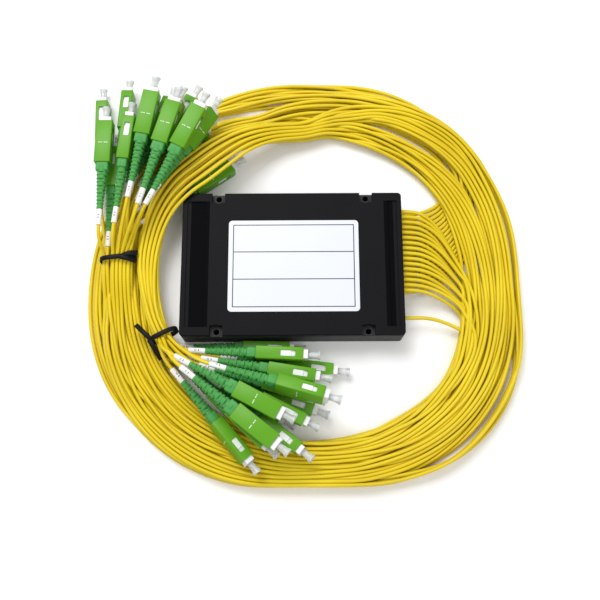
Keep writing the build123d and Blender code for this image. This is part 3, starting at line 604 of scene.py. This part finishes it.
# The cords settle in rounds. In each, a place is drawn between its neighbours on the cord, to where it
# wants to lie, and down, and then those that lie too near push each other apart.
rounds = 240
first_apart, closer, closer_from = 2.3, 0.26, 0.6
straighten, pull, sink = 0.3, 0.08, 0.035
straighten_fade, sink_fade = 0.8, 0.6
passes, late_passes, late_from = 2, 4, 0.7
between_share, station_share, most_move = 0.6, 0.55, 0.6
for turn in range(rounds):
    late = turn / rounds
    apart = first_apart - closer * max(0, late - closer_from) / (1 - closer_from)
    mid_r = (r[before] + r[after]) / 2 - r
    mid_z = (z[before] + z[after]) / 2 - z
    smooth = straighten * (1 - straighten_fade * late)
    r = np.where(loose, r + smooth * mid_r + pull * (1 - late) * (wanted - r), r)
    z = np.where(loose, z + smooth * mid_z - sink * (1 - sink_fade * late), z)
    for _ in range(passes if late < late_from else late_passes):
        for start in stretches:
            end = after[start]
            push, dr, dz = pushed((r[start] + r[end]) / 2, (z[start] + z[end]) / 2, apart)
            move_r = np.clip((push * dr).sum(1) * between_share, -most_move, most_move)
            move_z = np.clip((push * dz).sum(1) * between_share, -most_move, most_move)
            for ends in (start, end):
                r[ends] += np.where(loose[ends], move_r, 0)
                z[ends] += np.where(loose[ends], move_z, 0)
        for group in groups:
            push, dr, dz = pushed(r[group], z[group], apart)
            free = loose[group]
            # A place that stays gives nothing, so the loose one beside it goes twice as far
            push = push * np.where(free[None, :], 1.0, 2.0)
            move_r = np.where(free, (push * dr).sum(1), 0)
            move_z = np.where(free, (push * dz).sum(1), 0)
            r[group] += np.clip(move_r * station_share, -most_move, most_move)
            z[group] += np.clip(move_z * station_share, -most_move, most_move)
        off = (r - parting_r) * parting_side
        r = np.where(loose & (off < parting_half), parting_r + parting_side * parting_half, r)
        r = np.where(loose, np.clip(r, inner, outer), r)
        z = np.where(loose, np.clip(z, cord_r, roof), z)
# At last the outer cords are drawn out to the coil's edge, but not where the upper bunch lies
drawn_past = 98.0
bunch_from, bunch_to = 70, 190
held_rounds, even_rounds = 12, 3
held = np.where(loose, 1.0, 0.0)
for _ in range(held_rounds):
    held = np.where(loose, (held[before] + 2 * held + held[after]) / 4, 0)
short_by = np.array([(outer[group] - r[group])[loose[group]].min() for group in groups])
angles = np.arange(stations) * step
short_by[(angles > bunch_from) & (angles < bunch_to)] = 0
for _ in range(even_rounds):
    short_by = (np.roll(short_by, 1) + 2 * short_by + np.roll(short_by, -1)) / 4
short_by = short_by[place_station]
drawn = np.clip((r - drawn_past) / (outer - short_by - drawn_past), 0, 1) ** 2
r = np.where(loose, np.minimum(r + drawn * held * short_by, outer), r)


def smooth_curve(name, points, closed=False):
    """A curve on one smooth spline with these control points."""
    data = bpy.data.curves.new(name, "CURVE")
    data.dimensions = "3D"
    spline = data.splines.new("NURBS")
    spline.points.add(len(points) - 1)
    for made, point in zip(spline.points, points):
        made.co = (*point, 1)
    spline.order_u = 3
    spline.use_cyclic_u = closed
    spline.use_endpoint_u = not closed
    return data


def lay_cord(name, points):
    """A cord along its route's points, with the jacket's round section."""
    data = smooth_curve(name, [Vector(point) * mm for point in points])
    data.bevel_depth = cord_r * mm
    data.bevel_resolution = 3
    data.resolution_u = 4
    data.use_fill_caps = True
    return set_up(name, data)


jacket, shade = new_material("jacket")
jacket_place = object_place(shade)
jacket_patch = noise(shade, jacket_place, 30.0, 3.0)
jacket_grain = noise(shade, jacket_place, 900.0, 2.0)
jacket_colour = shade.node(
    "ShaderNodeValToRGB",
    {0: jacket_patch},
    stops=((0.25, (0.62, 0.45, 0.004)), (0.5, (0.70, 0.525, 0.006)), (0.75, (0.77, 0.60, 0.012))),
)
finish_material(
    shade,
    {
        "Base Color": jacket_colour,
        "Roughness": 0.34 + 0.2 * jacket_patch,
        "Specular IOR Level": 0.36,
    },
    height=jacket_grain,
    bump=0.25,
    bump_distance=0.00005,
)

upper_cords = [None] * len(upper_leads)
lower_cords = [None] * len(lower_leads)
for strand, rows, angles in zip(strands, strand_rows, strand_angles):
    index, ending, route, *_, is_upper = strand
    is_input = index == row_count
    points = list(route[:route_count])
    for row, angle in zip(rows, np.radians(angles)):
        points.append((coil_x + r[row] * cos(angle), coil_y + r[row] * sin(angle), z[row]))
    if is_upper:
        points += upper_leads[ending] + tail_end(upper_frames[ending])
        name = "cord_in" if is_input else f"cord_upper_{index + 1:02d}"
    else:
        points += [band_point(k, *band_places[ending]) for k in range(len(band_route))]
        points += lower_leads[ending] + tail_end(lower_frames[ending])
        name = f"cord_lower_{index + 1:02d}"
    cord = lay_cord(name, points)
    cord.data.materials.append(jacket)
    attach(cord, "splitter")
    if is_upper:
        upper_cords[ending] = cord
        from_box = "input_cord" if is_input else "upper_row_cords"
        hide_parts(from_box, "upper_tails", "cord_coil")
    else:
        lower_cords[ending] = cord
        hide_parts("lower_row_cords", "lower_tails", "strand_band", "cord_coil")


# Grips. Each connector has an outer grip of glossy green moulded plastic. It slides back a little over
# the white inner body to let go of the adapter, and its side windows show that body's latches.
def mould(name, grown):
    """A mesh from a bmesh, with its faces turned outward."""
    bmesh.ops.recalc_face_normals(grown, faces=grown.faces)
    data = bpy.data.meshes.new(name)
    grown.to_mesh(data)
    grown.free()
    return data


def remember(data):
    """Keeps each point's own millimetres for the material, and turns the mesh to metres."""
    own = np.zeros(len(data.vertices) * 3, np.float32)
    data.vertices.foreach_get("co", own)
    kept = data.attributes.new("own_place", "FLOAT_VECTOR", "POINT")
    kept.data.foreach_set("vector", own)
    data.transform(Matrix.Scale(mm, 4))


def own_place(shade):
    """Those millimetres, in a material."""
    return shade.node("ShaderNodeAttribute", output=1, attribute_name="own_place")


def put(name, data, body, material):
    """A piece of the scene with that mesh and finish, moving with a body."""
    data.materials.clear()
    data.materials.append(material)
    piece = set_up(name, data)
    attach(piece, body)
    return piece


def block(size, middle):
    """A plain block in millimetres."""
    made = bmesh.new()
    scale = Matrix.Diagonal((*size, 1))
    bmesh.ops.create_cube(made, size=1, matrix=Matrix.Translation(middle) @ scale)
    return made


def soften(made, edges, width, segments):
    """Rounds edges off."""
    bmesh.ops.bevel(
        made,
        geom=edges,
        offset=width,
        segments=segments,
        profile=0.5,
        affect="EDGES",
        material=-1,
    )


def join(*parts):
    """One bmesh out of several."""
    whole = bmesh.new()
    for part in parts:
        data = bpy.data.meshes.new("part")
        part.to_mesh(data)
        part.free()
        whole.from_mesh(data)
    return whole


def cut_away(solid, cutters):
    """The solid less all the cutters, which don't touch each other."""
    whole = set_up("solid", mould("solid", solid))
    knife = set_up("cutters", mould("cutters", join(*cutters)))
    cut = whole.modifiers.new("cut", "BOOLEAN")
    cut.object = knife
    cut.solver = "EXACT"
    bpy.context.view_layer.update()
    depsgraph = bpy.context.evaluated_depsgraph_get()
    left = bpy.data.meshes.new_from_object(whole.evaluated_get(depsgraph))
    bpy.data.objects.remove(whole)
    bpy.data.objects.remove(knife)
    cut_solid = bmesh.new()
    cut_solid.from_mesh(left)
    return cut_solid


def smooth_faces(data, angle=35):
    """Smooth shading except at edges sharper than the angle."""
    data.shade_smooth()
    data.set_sharp_from_angle(angle=radians(angle))


def along_axis(shade, place, axis):
    return shade.node("ShaderNodeSeparateXYZ", {0: place}, output=axis)


grip_length = 25.0
grip_width = 9.0
grip_height = 6.9
grip_wall = 0.85
corner_round, front_round, rear_round = 0.6, 0.4, 0.25
window_length = 7.8
window_width = 3.1
window_middle = -8.0
window_round = 0.5
key_size = (2.2, 0.5, 7.9)
key_middle = (0, -grip_height / 2 - 0.05, -5.05)
grip_mesh = block((grip_width, grip_height, grip_length), (0, 0, -grip_length / 2))
corners = [e for e in grip_mesh.edges if abs(e.verts[0].co.z - e.verts[1].co.z) > 1]
soften(grip_mesh, corners, corner_round, 3)
front_rim = [e for e in grip_mesh.edges if min(v.co.z for v in e.verts) > -0.01]
soften(grip_mesh, front_rim, front_round, 2)
rear_rim = [e for e in grip_mesh.edges if max(v.co.z for v in e.verts) < 0.01 - grip_length]
soften(grip_mesh, rear_rim, rear_round, 2)
bore_size = (grip_width - 2 * grip_wall, grip_height - 2 * grip_wall, grip_length + 2)
bore = block(bore_size, (0, 0, -grip_length / 2))
grip_mesh = cut_away(grip_mesh, [bore])
window = block((2 * grip_width, window_width, window_length), (0, 0, window_middle))
through = [e for e in window.edges if abs(e.verts[0].co.x - e.verts[1].co.x) > 1]
soften(window, through, window_round, 2)
grip_mesh = cut_away(grip_mesh, [window])
grip_data = mould("grip", join(grip_mesh, block(key_size, key_middle)))
smooth_faces(grip_data)
remember(grip_data)

# On both wide faces two short dashes are printed, partly worn off, and a line is moulded round a panel.
# Places are measured back from the grip's front and out from its middle.
dash_back, dash_half_width, dash_start, dash_end, dash_worn = 13.6, 0.24, 0.45, 2.6, 0.36
panel_back, panel_half_length, panel_half_width, panel_line_width = 18.6, 4.4, 3.4, 0.25
grip_green, shade = new_material("grip_green")
own = own_place(shade)
across = along_axis(shade, own, 0)
up = along_axis(shade, own, 1)
along = along_axis(shade, own, 2)
grain = noise(shade, own, 7.0, 3.0)
worn = noise(shade, own, 1.6, 4.0)
wide_face = up.size() > grip_height / 2 - 0.05
dash = ((along + dash_back).size() < dash_half_width) * (across.size() > dash_start)
dash = dash * (across.size() < dash_end) * wide_face * (worn > dash_worn)
from_panel = (along + panel_back).size()
panel = (from_panel < panel_half_length) * (across.size() < panel_half_width) * wide_face
within = from_panel < panel_half_length - panel_line_width
within = within * (across.size() < panel_half_width - panel_line_width)
panel_line = panel * (1 - within)
green = grain.mix((0.092, 0.305, 0.010, 1), (0.12, 0.355, 0.016, 1))
finish_material(
    shade,
    {
        "Base Color": dash.mix(green, (0.62, 0.74, 0.55, 1)),
        "Roughness": 0.30 + 0.12 * grain + 0.2 * dash,
        "Specular IOR Level": 0.22,
    },
    height=grain * 0.35 - panel_line * 1.4 + dash * 0.4,
    bump=0.3,
    bump_distance=0.0001,
)
for number, place in enumerate(upper_frames + lower_frames, start=1):
    data = grip_data.copy()
    data.transform(place)
    grip = put(f"grip_sleeve_{number:02d}", data, f"grip_{number:02d}_body", grip_green)
    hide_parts(f"grip_{number:02d}")


# Boots. A soft green rubber boot is pushed over the crimp and keeps the cord from kinking. Pairs of
# slots are moulded through it in turn, so that it bends like a spring.
boot_root_r = 3.3
boot_tail_r = 1.7
boot_taper = 27
boot_end = -52.0
cone_front = -27.2
cord_hole_r = 1.12
rib_count = 10
rib_start = -30.6
rib_pitch = 2.1
slot_width = 0.85
rib_round = 0.22
groove_mouth, groove_depth = 0.28, 0.34
tail_round = 0.3
# The web that the slots leave in the middle hides the crimp in it
web_share, least_web = 0.64, 1.25
slot_reach, slot_across = 6, 8
base_size, base_middle, base_round = (7.0, 5.4, 6.6), (0, 0, -26.7), 0.9


def boot_radius(z):
    """The boot's radius at a place behind the grip's front."""
    return boot_tail_r + (z - boot_end) * (boot_root_r - boot_tail_r) / boot_taper


def turned(profile, steps=28):
    """A solid turned about its Z axis from its half outline, each point a radius and a height."""
    made = bmesh.new()
    points = [made.verts.new((r, 0, z)) for r, z in profile]
    edges = [made.edges.new(pair) for pair in zip(points, points[1:])]
    bmesh.ops.spin(
        made,
        geom=points + edges,
        cent=(0, 0, 0),
        axis=(0, 0, 1),
        dvec=(0, 0, 0),
        angle=2 * pi,
        steps=steps,
        use_merge=True,
        use_duplicate=False,
    )
    bmesh.ops.remove_doubles(made, verts=made.verts, dist=0.001)
    return made


outline = [(0, cone_front), (boot_radius(cone_front), cone_front)]
for rib in range(rib_count):
    top = rib_start - rib * rib_pitch
    outline += [
        (boot_radius(top) - groove_mouth, top + 0.05),
        (boot_radius(top) - groove_depth, top - slot_width),
        (boot_radius(top - slot_width) - 0.02, top - slot_width - rib_round),
        (boot_radius(top) + 0.02, top - slot_width / 2 - rib_pitch / 2),
        (boot_radius(top - rib_pitch) - 0.02, top + rib_round - rib_pitch),
    ]
outline = [point for point in outline if point[1] > boot_end + 0.5]
outline += [
    (boot_tail_r, boot_end + 0.4),
    (boot_tail_r - tail_round, boot_end),
    (cord_hole_r, boot_end),
    (cord_hole_r, boot_end + 2),
    (0, boot_end + 2),
]
slots = []
for rib in range(rib_count - 1):
    middle = rib_start - rib * rib_pitch - slot_width / 2
    web = max(web_share * boot_radius(middle), least_web)
    for side in (-1, 1):
        shift = side * (web + slot_reach / 2)
        if rib % 2:
            slots.append(block((slot_reach, slot_across, slot_width), (shift, 0, middle)))
        else:
            slots.append(block((slot_across, slot_reach, slot_width), (0, shift, middle)))
boot_mesh = cut_away(turned(outline), slots)
boot_base = block(base_size, base_middle)
soften(boot_base, list(boot_base.edges), base_round, 3)
boot_data = mould("boot", join(boot_mesh, boot_base))
smooth_faces(boot_data, 40)
remember(boot_data)

boot_green, shade = new_material("boot_green")
own = own_place(shade)
grain = noise(shade, own, 3.0, 4.0)
dust = noise(shade, own, 0.6, 2.0)
finish_material(
    shade,
    {
        "Base Color": dust.mix((0.045, 0.26, 0.050, 1), (0.075, 0.35, 0.075, 1)),
        "Roughness": 0.45 + 0.2 * grain,
        "Specular IOR Level": 0.35,
    },
    height=grain,
    bump=0.25,
)


def on_each_connector(name, shape, material, node):
    """A piece like the others on each of the 33 connectors, all in place of one CAD node."""
    pieces = []
    for number, place in enumerate(upper_frames + lower_frames, start=1):
        data = shape.copy()
        data.transform(place)
        pieces.append(put(f"{name}_{number:02d}", data, "splitter", material))
        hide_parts(node)
    return pieces


boots = on_each_connector("boot", boot_data, boot_green, "connector_boots")


# Number sleeves. A short white heat-shrink sleeve behind each boot says which way out the cord is.
# Only small plain marks are printed on these.
bar_back, bar_half = 55.6, 0.22
ring_back, ring_hole, ring_half = 57.2, 0.16, 0.42
mark_half = 0.5
# Its half outline, each point a radius and a place along the connector, as for the caps below
sleeve_profile = [
    (1.04, -61.1), (1.42, -61.1), (1.52, -60.9), (1.52, -52.4), (1.42, -52.1), (1.04, -52.1),
    (1.04, -61.1),
]
sleeve_data = mould("sleeve", turned(sleeve_profile, 20))
smooth_faces(sleeve_data, 50)
remember(sleeve_data)

sleeve_white, shade = new_material("sleeve_white")
own = own_place(shade)
across = along_axis(shade, own, 0)
up = along_axis(shade, own, 1)
along = along_axis(shade, own, 2)
bar = (along + bar_back).size() < bar_half
ring = ((along + ring_back).size() < ring_half) * ((along + ring_back).size() > ring_hole)
mark = (bar + ring) * ((across.size() < mark_half) + (up.size() < mark_half))
stain = noise(shade, own, 0.8, 3.0)
paper = stain.mix((0.80, 0.79, 0.76, 1), (0.88, 0.88, 0.87, 1))
finish_material(
    shade,
    {"Base Color": mark.mix(paper, (0.03, 0.03, 0.035, 1)), "Roughness": 0.42 + 0.15 * stain},
    height=stain,
    bump=0.15,
)
sleeves = on_each_connector("number_sleeve", sleeve_data, sleeve_white, "number_sleeves")


# Dust caps. A soft see-through cap is pushed on each ferrule, with a flared end to pull it off by.
cap_profile = [
    (0, 4.7), (1.3, 4.7), (1.3, -0.6), (2.1, -0.6), (2.15, 2.3), (1.75, 2.9), (1.7, 3.6), (1.8, 6.2),
    (2.3, 7.9), (2.45, 8.2), (2.45, 8.7), (2.3, 8.9), (1.7, 8.9), (1.45, 7.4), (0, 7.2),
]
cap_data = mould("cap", turned(cap_profile, 24))
smooth_faces(cap_data, 50)
remember(cap_data)

cap_clear, shade = new_material("cap_clear")
own = own_place(shade)
haze = noise(shade, own, 0.9, 3.0)
finish_material(
    shade,
    {
        "Base Color": haze.mix((0.80, 0.82, 0.82, 1), (0.90, 0.91, 0.91, 1)),
        "Roughness": 0.22 + 0.2 * haze,
        "IOR": 1.42,
        "Transmission Weight": 0.55,
    },
    height=haze,
    bump=0.2,
)
on_each_connector("dust_cap", cap_data, cap_clear, "dust_caps")


# Ties. Each bunch is held by a flat black coated wire, closed round the cords, with its two ends
# twisted together and left over.
tie_width = 2.6
tie_thickness = 0.9
flat_share, side_share = 0.8, 0.4  # of the width and the thickness that stay flat


def smooth_line(points, closed):
    """Points along the smooth line that a spline with these control points gives."""
    data = smooth_curve("line", points, closed)
    data.resolution_u = 6
    line = set_up("line", data)
    bpy.context.view_layer.update()
    depsgraph = bpy.context.evaluated_depsgraph_get()
    seen = bpy.data.meshes.new_from_object(line.evaluated_get(depsgraph))
    bpy.data.objects.remove(line)
    return [vertex.co.copy() for vertex in seen.vertices]


def flat_strip(points, lengthwise, closed):
    """A flat wire along a smooth line, with its width lying lengthwise."""
    path = smooth_line(points, closed)
    made = bmesh.new()
    rings = []
    for k, here in enumerate(path):
        ahead = path[(k + 1) % len(path)] if closed else path[min(k + 1, len(path) - 1)]
        behind = path[k - 1] if closed or k else here
        heading = (ahead - behind).normalized()
        wide = Vector(lengthwise)
        wide = (wide - heading * heading.dot(wide)).normalized()
        a = wide * tie_width / 2
        b = heading.cross(wide) * tie_thickness / 2
        flat, thin = a * flat_share, b * side_share
        section = (flat + b, a + thin, a - thin, flat - b, -flat - b, -a - thin, -a + thin, -flat + b)
        rings.append([made.verts.new(here + corner) for corner in section])
    for k in range(len(rings) if closed else len(rings) - 1):
        first, second = rings[k], rings[(k + 1) % len(rings)]
        for j in range(len(first)):
            n = (j + 1) % len(first)
            made.faces.new((first[j], first[n], second[n], second[j]))
    if not closed:
        made.faces.new(rings[0])
        made.faces.new(reversed(rings[-1]))
    return made


tie_black, shade = new_material("tie_black")
tie_place = object_place(shade)
tie_grain = noise(shade, tie_place, 700.0, 3.0)
finish_material(
    shade,
    {
        "Base Color": tie_grain.mix((0.003, 0.003, 0.0035, 1), (0.008, 0.008, 0.009, 1)),
        "Roughness": 0.42 + 0.2 * tie_grain,
        "Specular IOR Level": 0.15,
    },
    height=tie_grain,
    bump=0.3,
)
# Each tie's loop round the cords, and its two ends
upper_loop = [
    (-105.2, 3.4, 11.0), (-104.6, 3.5, 15.2), (-100.5, 3.8, 16.9), (-95.2, 4.3, 17.0),
    (-90.5, 5.0, 16.8), (-86.4, 5.4, 14.9), (-85.9, 5.2, 10.5), (-87.2, 4.8, 6.6),
    (-91.5, 4.3, 5.4), (-96.0, 3.8, 5.3), (-101.0, 3.5, 5.5), (-104.4, 3.4, 7.0),
]
upper_ends = [
    [(-92.5, 4.4, 17.5), (-89.6, 5.4, 18.5), (-86.4, 6.2, 18.2), (-83.9, 6.3, 16.6)],
    [(-94.0, 4.2, 17.6), (-90.5, 3.4, 18.2), (-87.5, 2.6, 17.2), (-85.0, 2.2, 15.0)],
]
lower_loop = [
    (-76.2, -42.2, 12.0), (-75.6, -41.9, 16.4), (-72.6, -40.4, 18.2), (-68.9, -38.5, 18.4),
    (-65.2, -36.7, 18.2), (-62.2, -35.3, 16.2), (-61.7, -35.0, 12.2), (-62.4, -35.4, 8.0),
    (-65.4, -36.8, 6.3), (-69.0, -38.6, 6.1), (-72.6, -40.4, 6.3), (-75.6, -41.9, 7.8),
]
lower_ends = [
    [(-75.0, -41.4, 17.4), (-77.6, -38.9, 18.0), (-80.6, -36.0, 16.6), (-83.6, -33.2, 13.6)],
    [(-75.6, -41.8, 17.0), (-73.5, -45.0, 17.4), (-71.4, -48.6, 15.6), (-69.8, -51.6, 12.6)],
]
for name, loop, loop_width, ends, end_width in (
    ("upper_tie", upper_loop, (0, 1, 0), upper_ends, (0, 1, 0)),
    ("lower_tie", lower_loop, (0.447, -0.894, 0), lower_ends, (0.8, 0.6, 0)),
):
    strips = [flat_strip(points, end_width, False) for points in ends]
    data = mould(name, join(flat_strip(loop, loop_width, True), *strips))
    smooth_faces(data, 50)
    data.transform(Matrix.Scale(mm, 4))
    tie = put(f"wire_{name}", data, "splitter", tie_black)
    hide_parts(name)


# Box. The tray and its snap-on cover are moulded in black ABS with a fine spark-eroded grain. The
# cover's two end recesses are smoother, and their darker colour is painted shade.
def plastic(name, first, second, roughness, grain_scale, bump, **constants):
    """An ordinary moulded finish: two near tones in soft patches, with a fine grain."""
    material, shade = new_material(name)
    place = object_place(shade)
    patch = noise(shade, place, 60.0, 3.0)
    grain = noise(shade, place, grain_scale, 2.0)
    values = {
        "Base Color": patch.mix((*first, 1), (*second, 1)),
        "Roughness": roughness + 0.15 * grain,
    }
    values.update({key.replace("_", " "): value for key, value in constants.items()})
    finish_material(shade, values, height=grain, bump=bump)
    return material


def paint(material, *nodes):
    """Gives CAD nodes a finish."""
    for node in nodes:
        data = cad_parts[node].data
        data.materials.clear()
        data.materials.append(material)


# The tray's black is painted lighter than the cover's, as painted light on its front wall.
dark, less_dark = (0.019, 0.019, 0.0205), (0.025, 0.025, 0.027)
tray_black_painted_light = plastic("tray_black_painted_light", dark, less_dark, 0.46, 1800.0, 0.35, Specular_IOR_Level=0.22)
paint(tray_black_painted_light, "base_shell")
left_recess = (-55.3 * mm, -45.1 * mm)
right_recess = (50.2 * mm, 55.3 * mm)
recess_y = 35.3 * mm
cover_black, shade = new_material("cover_black")
cover_place = object_place(shade)
across = along_axis(shade, cover_place, 0)
up = along_axis(shade, cover_place, 1)
cover_patch = noise(shade, cover_place, 60.0, 3.0)
cover_grain = noise(shade, cover_place, 1400.0, 3.0)
left = (across > left_recess[0]) * (across < left_recess[1])
right = (across > right_recess[0]) * (across < right_recess[1])
# In the recesses the colour is painted darker than the rest of the cover, as painted shade.
recess = (up.size() < recess_y) * (left + right)
tone = cover_grain * 0.7 + cover_patch * 0.3
black = tone.mix((0.003, 0.003, 0.0035, 1), (0.012, 0.012, 0.0135, 1))
finish_material(
    shade,
    {
        "Base Color": recess.mix(black, (0.001, 0.0012, 0.0018, 1)),
        "Roughness": 0.45 + 0.2 * cover_grain + 0.2 * recess,
        "Specular IOR Level": 0.06,
    },
    height=cover_grain * (1 - 0.8 * recess),
    bump=0.5,
)
paint(cover_black, "top_cover")


# Label. A white paper label with rounded corners is stuck on the cover. It has a thin border and two
# rules between its three fields, and nothing is printed in them.
label_middle = (0.8 * mm, -1.6 * mm)
label_length = 70.5 * mm
label_width = 51.0 * mm
border_inset = 2.6 * mm
rule_width = 0.52 * mm
label_paper, shade = new_material("label_paper")
label_place = object_place(shade)
across = along_axis(shade, label_place, 0) - label_middle[0]
up = along_axis(shade, label_place, 1) - label_middle[1]
border_x = label_length / 2 - border_inset
border_y = label_width / 2 - border_inset
inside = (across.size() < border_x + rule_width / 2) * (up.size() < border_y + rule_width / 2)
clear = (across.size() < border_x - rule_width / 2) * (up.size() < border_y - rule_width / 2)
rules = (up.size() - border_y / 3).size() < rule_width / 2
ink = inside * (1 - clear) + clear * rules
paper_grain = noise(shade, label_place, 900.0, 3.0)
paper_patch = noise(shade, label_place, 40.0, 3.0)
paper = paper_patch.mix((0.66, 0.68, 0.755, 1), (0.70, 0.72, 0.79, 1))
finish_material(
    shade,
    {"Base Color": ink.mix(paper, (0.02, 0.02, 0.024, 1)), "Roughness": 0.38 + 0.15 * paper_grain},
    height=paper_grain,
    bump=0.12,
    bump_distance=0.00004,
)
paint(label_paper, "front_label")


# Connector insides. The white inner body carries the latches and holds the ferrule, which is white
# zirconia, and a nickel-plated steel crimp clamps the cord behind it.
white, less_white = (0.82, 0.83, 0.82), (0.74, 0.75, 0.74)
paint(plastic("body_white", less_white, white, 0.35, 2500.0, 0.15), "connector_bodies")
paint(plastic("zirconia", (0.80, 0.80, 0.77), (0.86, 0.86, 0.84), 0.12, 3000.0, 0.05), "ferrules")
nickel, dull_nickel = (0.70, 0.68, 0.64), (0.60, 0.58, 0.54)
paint(plastic("nickel", dull_nickel, nickel, 0.22, 2500.0, 0.2, Metallic=1.0), "crimp_bodies")


# Inside of the box. The splitter chip sits between two fibre arrays in a steel tube, on a foam pad, and
# its ribbons fan out to small tubes that are cemented with the cords in the resin bar.
for finish, dull, bright, roughness, grain_scale, bump, metallic, *nodes in (
    ("resin", (0.30, 0.26, 0.17), (0.40, 0.35, 0.24), 0.25, 900.0, 0.3, 0.0, "cord_anchor"),
    ("foam", (0.10, 0.10, 0.11), (0.17, 0.17, 0.18), 0.80, 1500.0, 0.9, 0.0, "module_pad"),
    ("steel", (0.50, 0.50, 0.50), (0.62, 0.62, 0.61), 0.28, 3000.0, 0.15, 1.0, "module_housing"),
    ("rubber", (0.02, 0.02, 0.02), (0.04, 0.04, 0.04), 0.60, 2000.0, 0.3, 0.0, "module_plugs"),
    (
        "silica", (0.42, 0.47, 0.50), (0.52, 0.57, 0.60), 0.10, 3000.0, 0.05, 0.0, "splitter_chip",
        "fibre_arrays",
    ),
    ("fan_out_white", (0.66, 0.66, 0.64), (0.76, 0.76, 0.74), 0.4, 2000.0, 0.2, 0.0, "fan_out_blocks"),
    ("ribbon_blue", (0.16, 0.34, 0.52), (0.22, 0.42, 0.60), 0.32, 2500.0, 0.1, 0.0, "output_ribbons"),
    ("tube_white", (0.62, 0.62, 0.60), (0.74, 0.74, 0.72), 0.35, 2500.0, 0.15, 0.0, "fibre_tubes"),
):
    paint(plastic(finish, dull, bright, roughness, grain_scale, bump, Metallic=metallic), *nodes)

# For each cord, the points along its smooth line
for number, cord in enumerate(upper_cords + lower_cords):
    points = [Vector(point.co[:3]) for point in cord.data.splines[0].points]
    line = smooth_line(points, False)
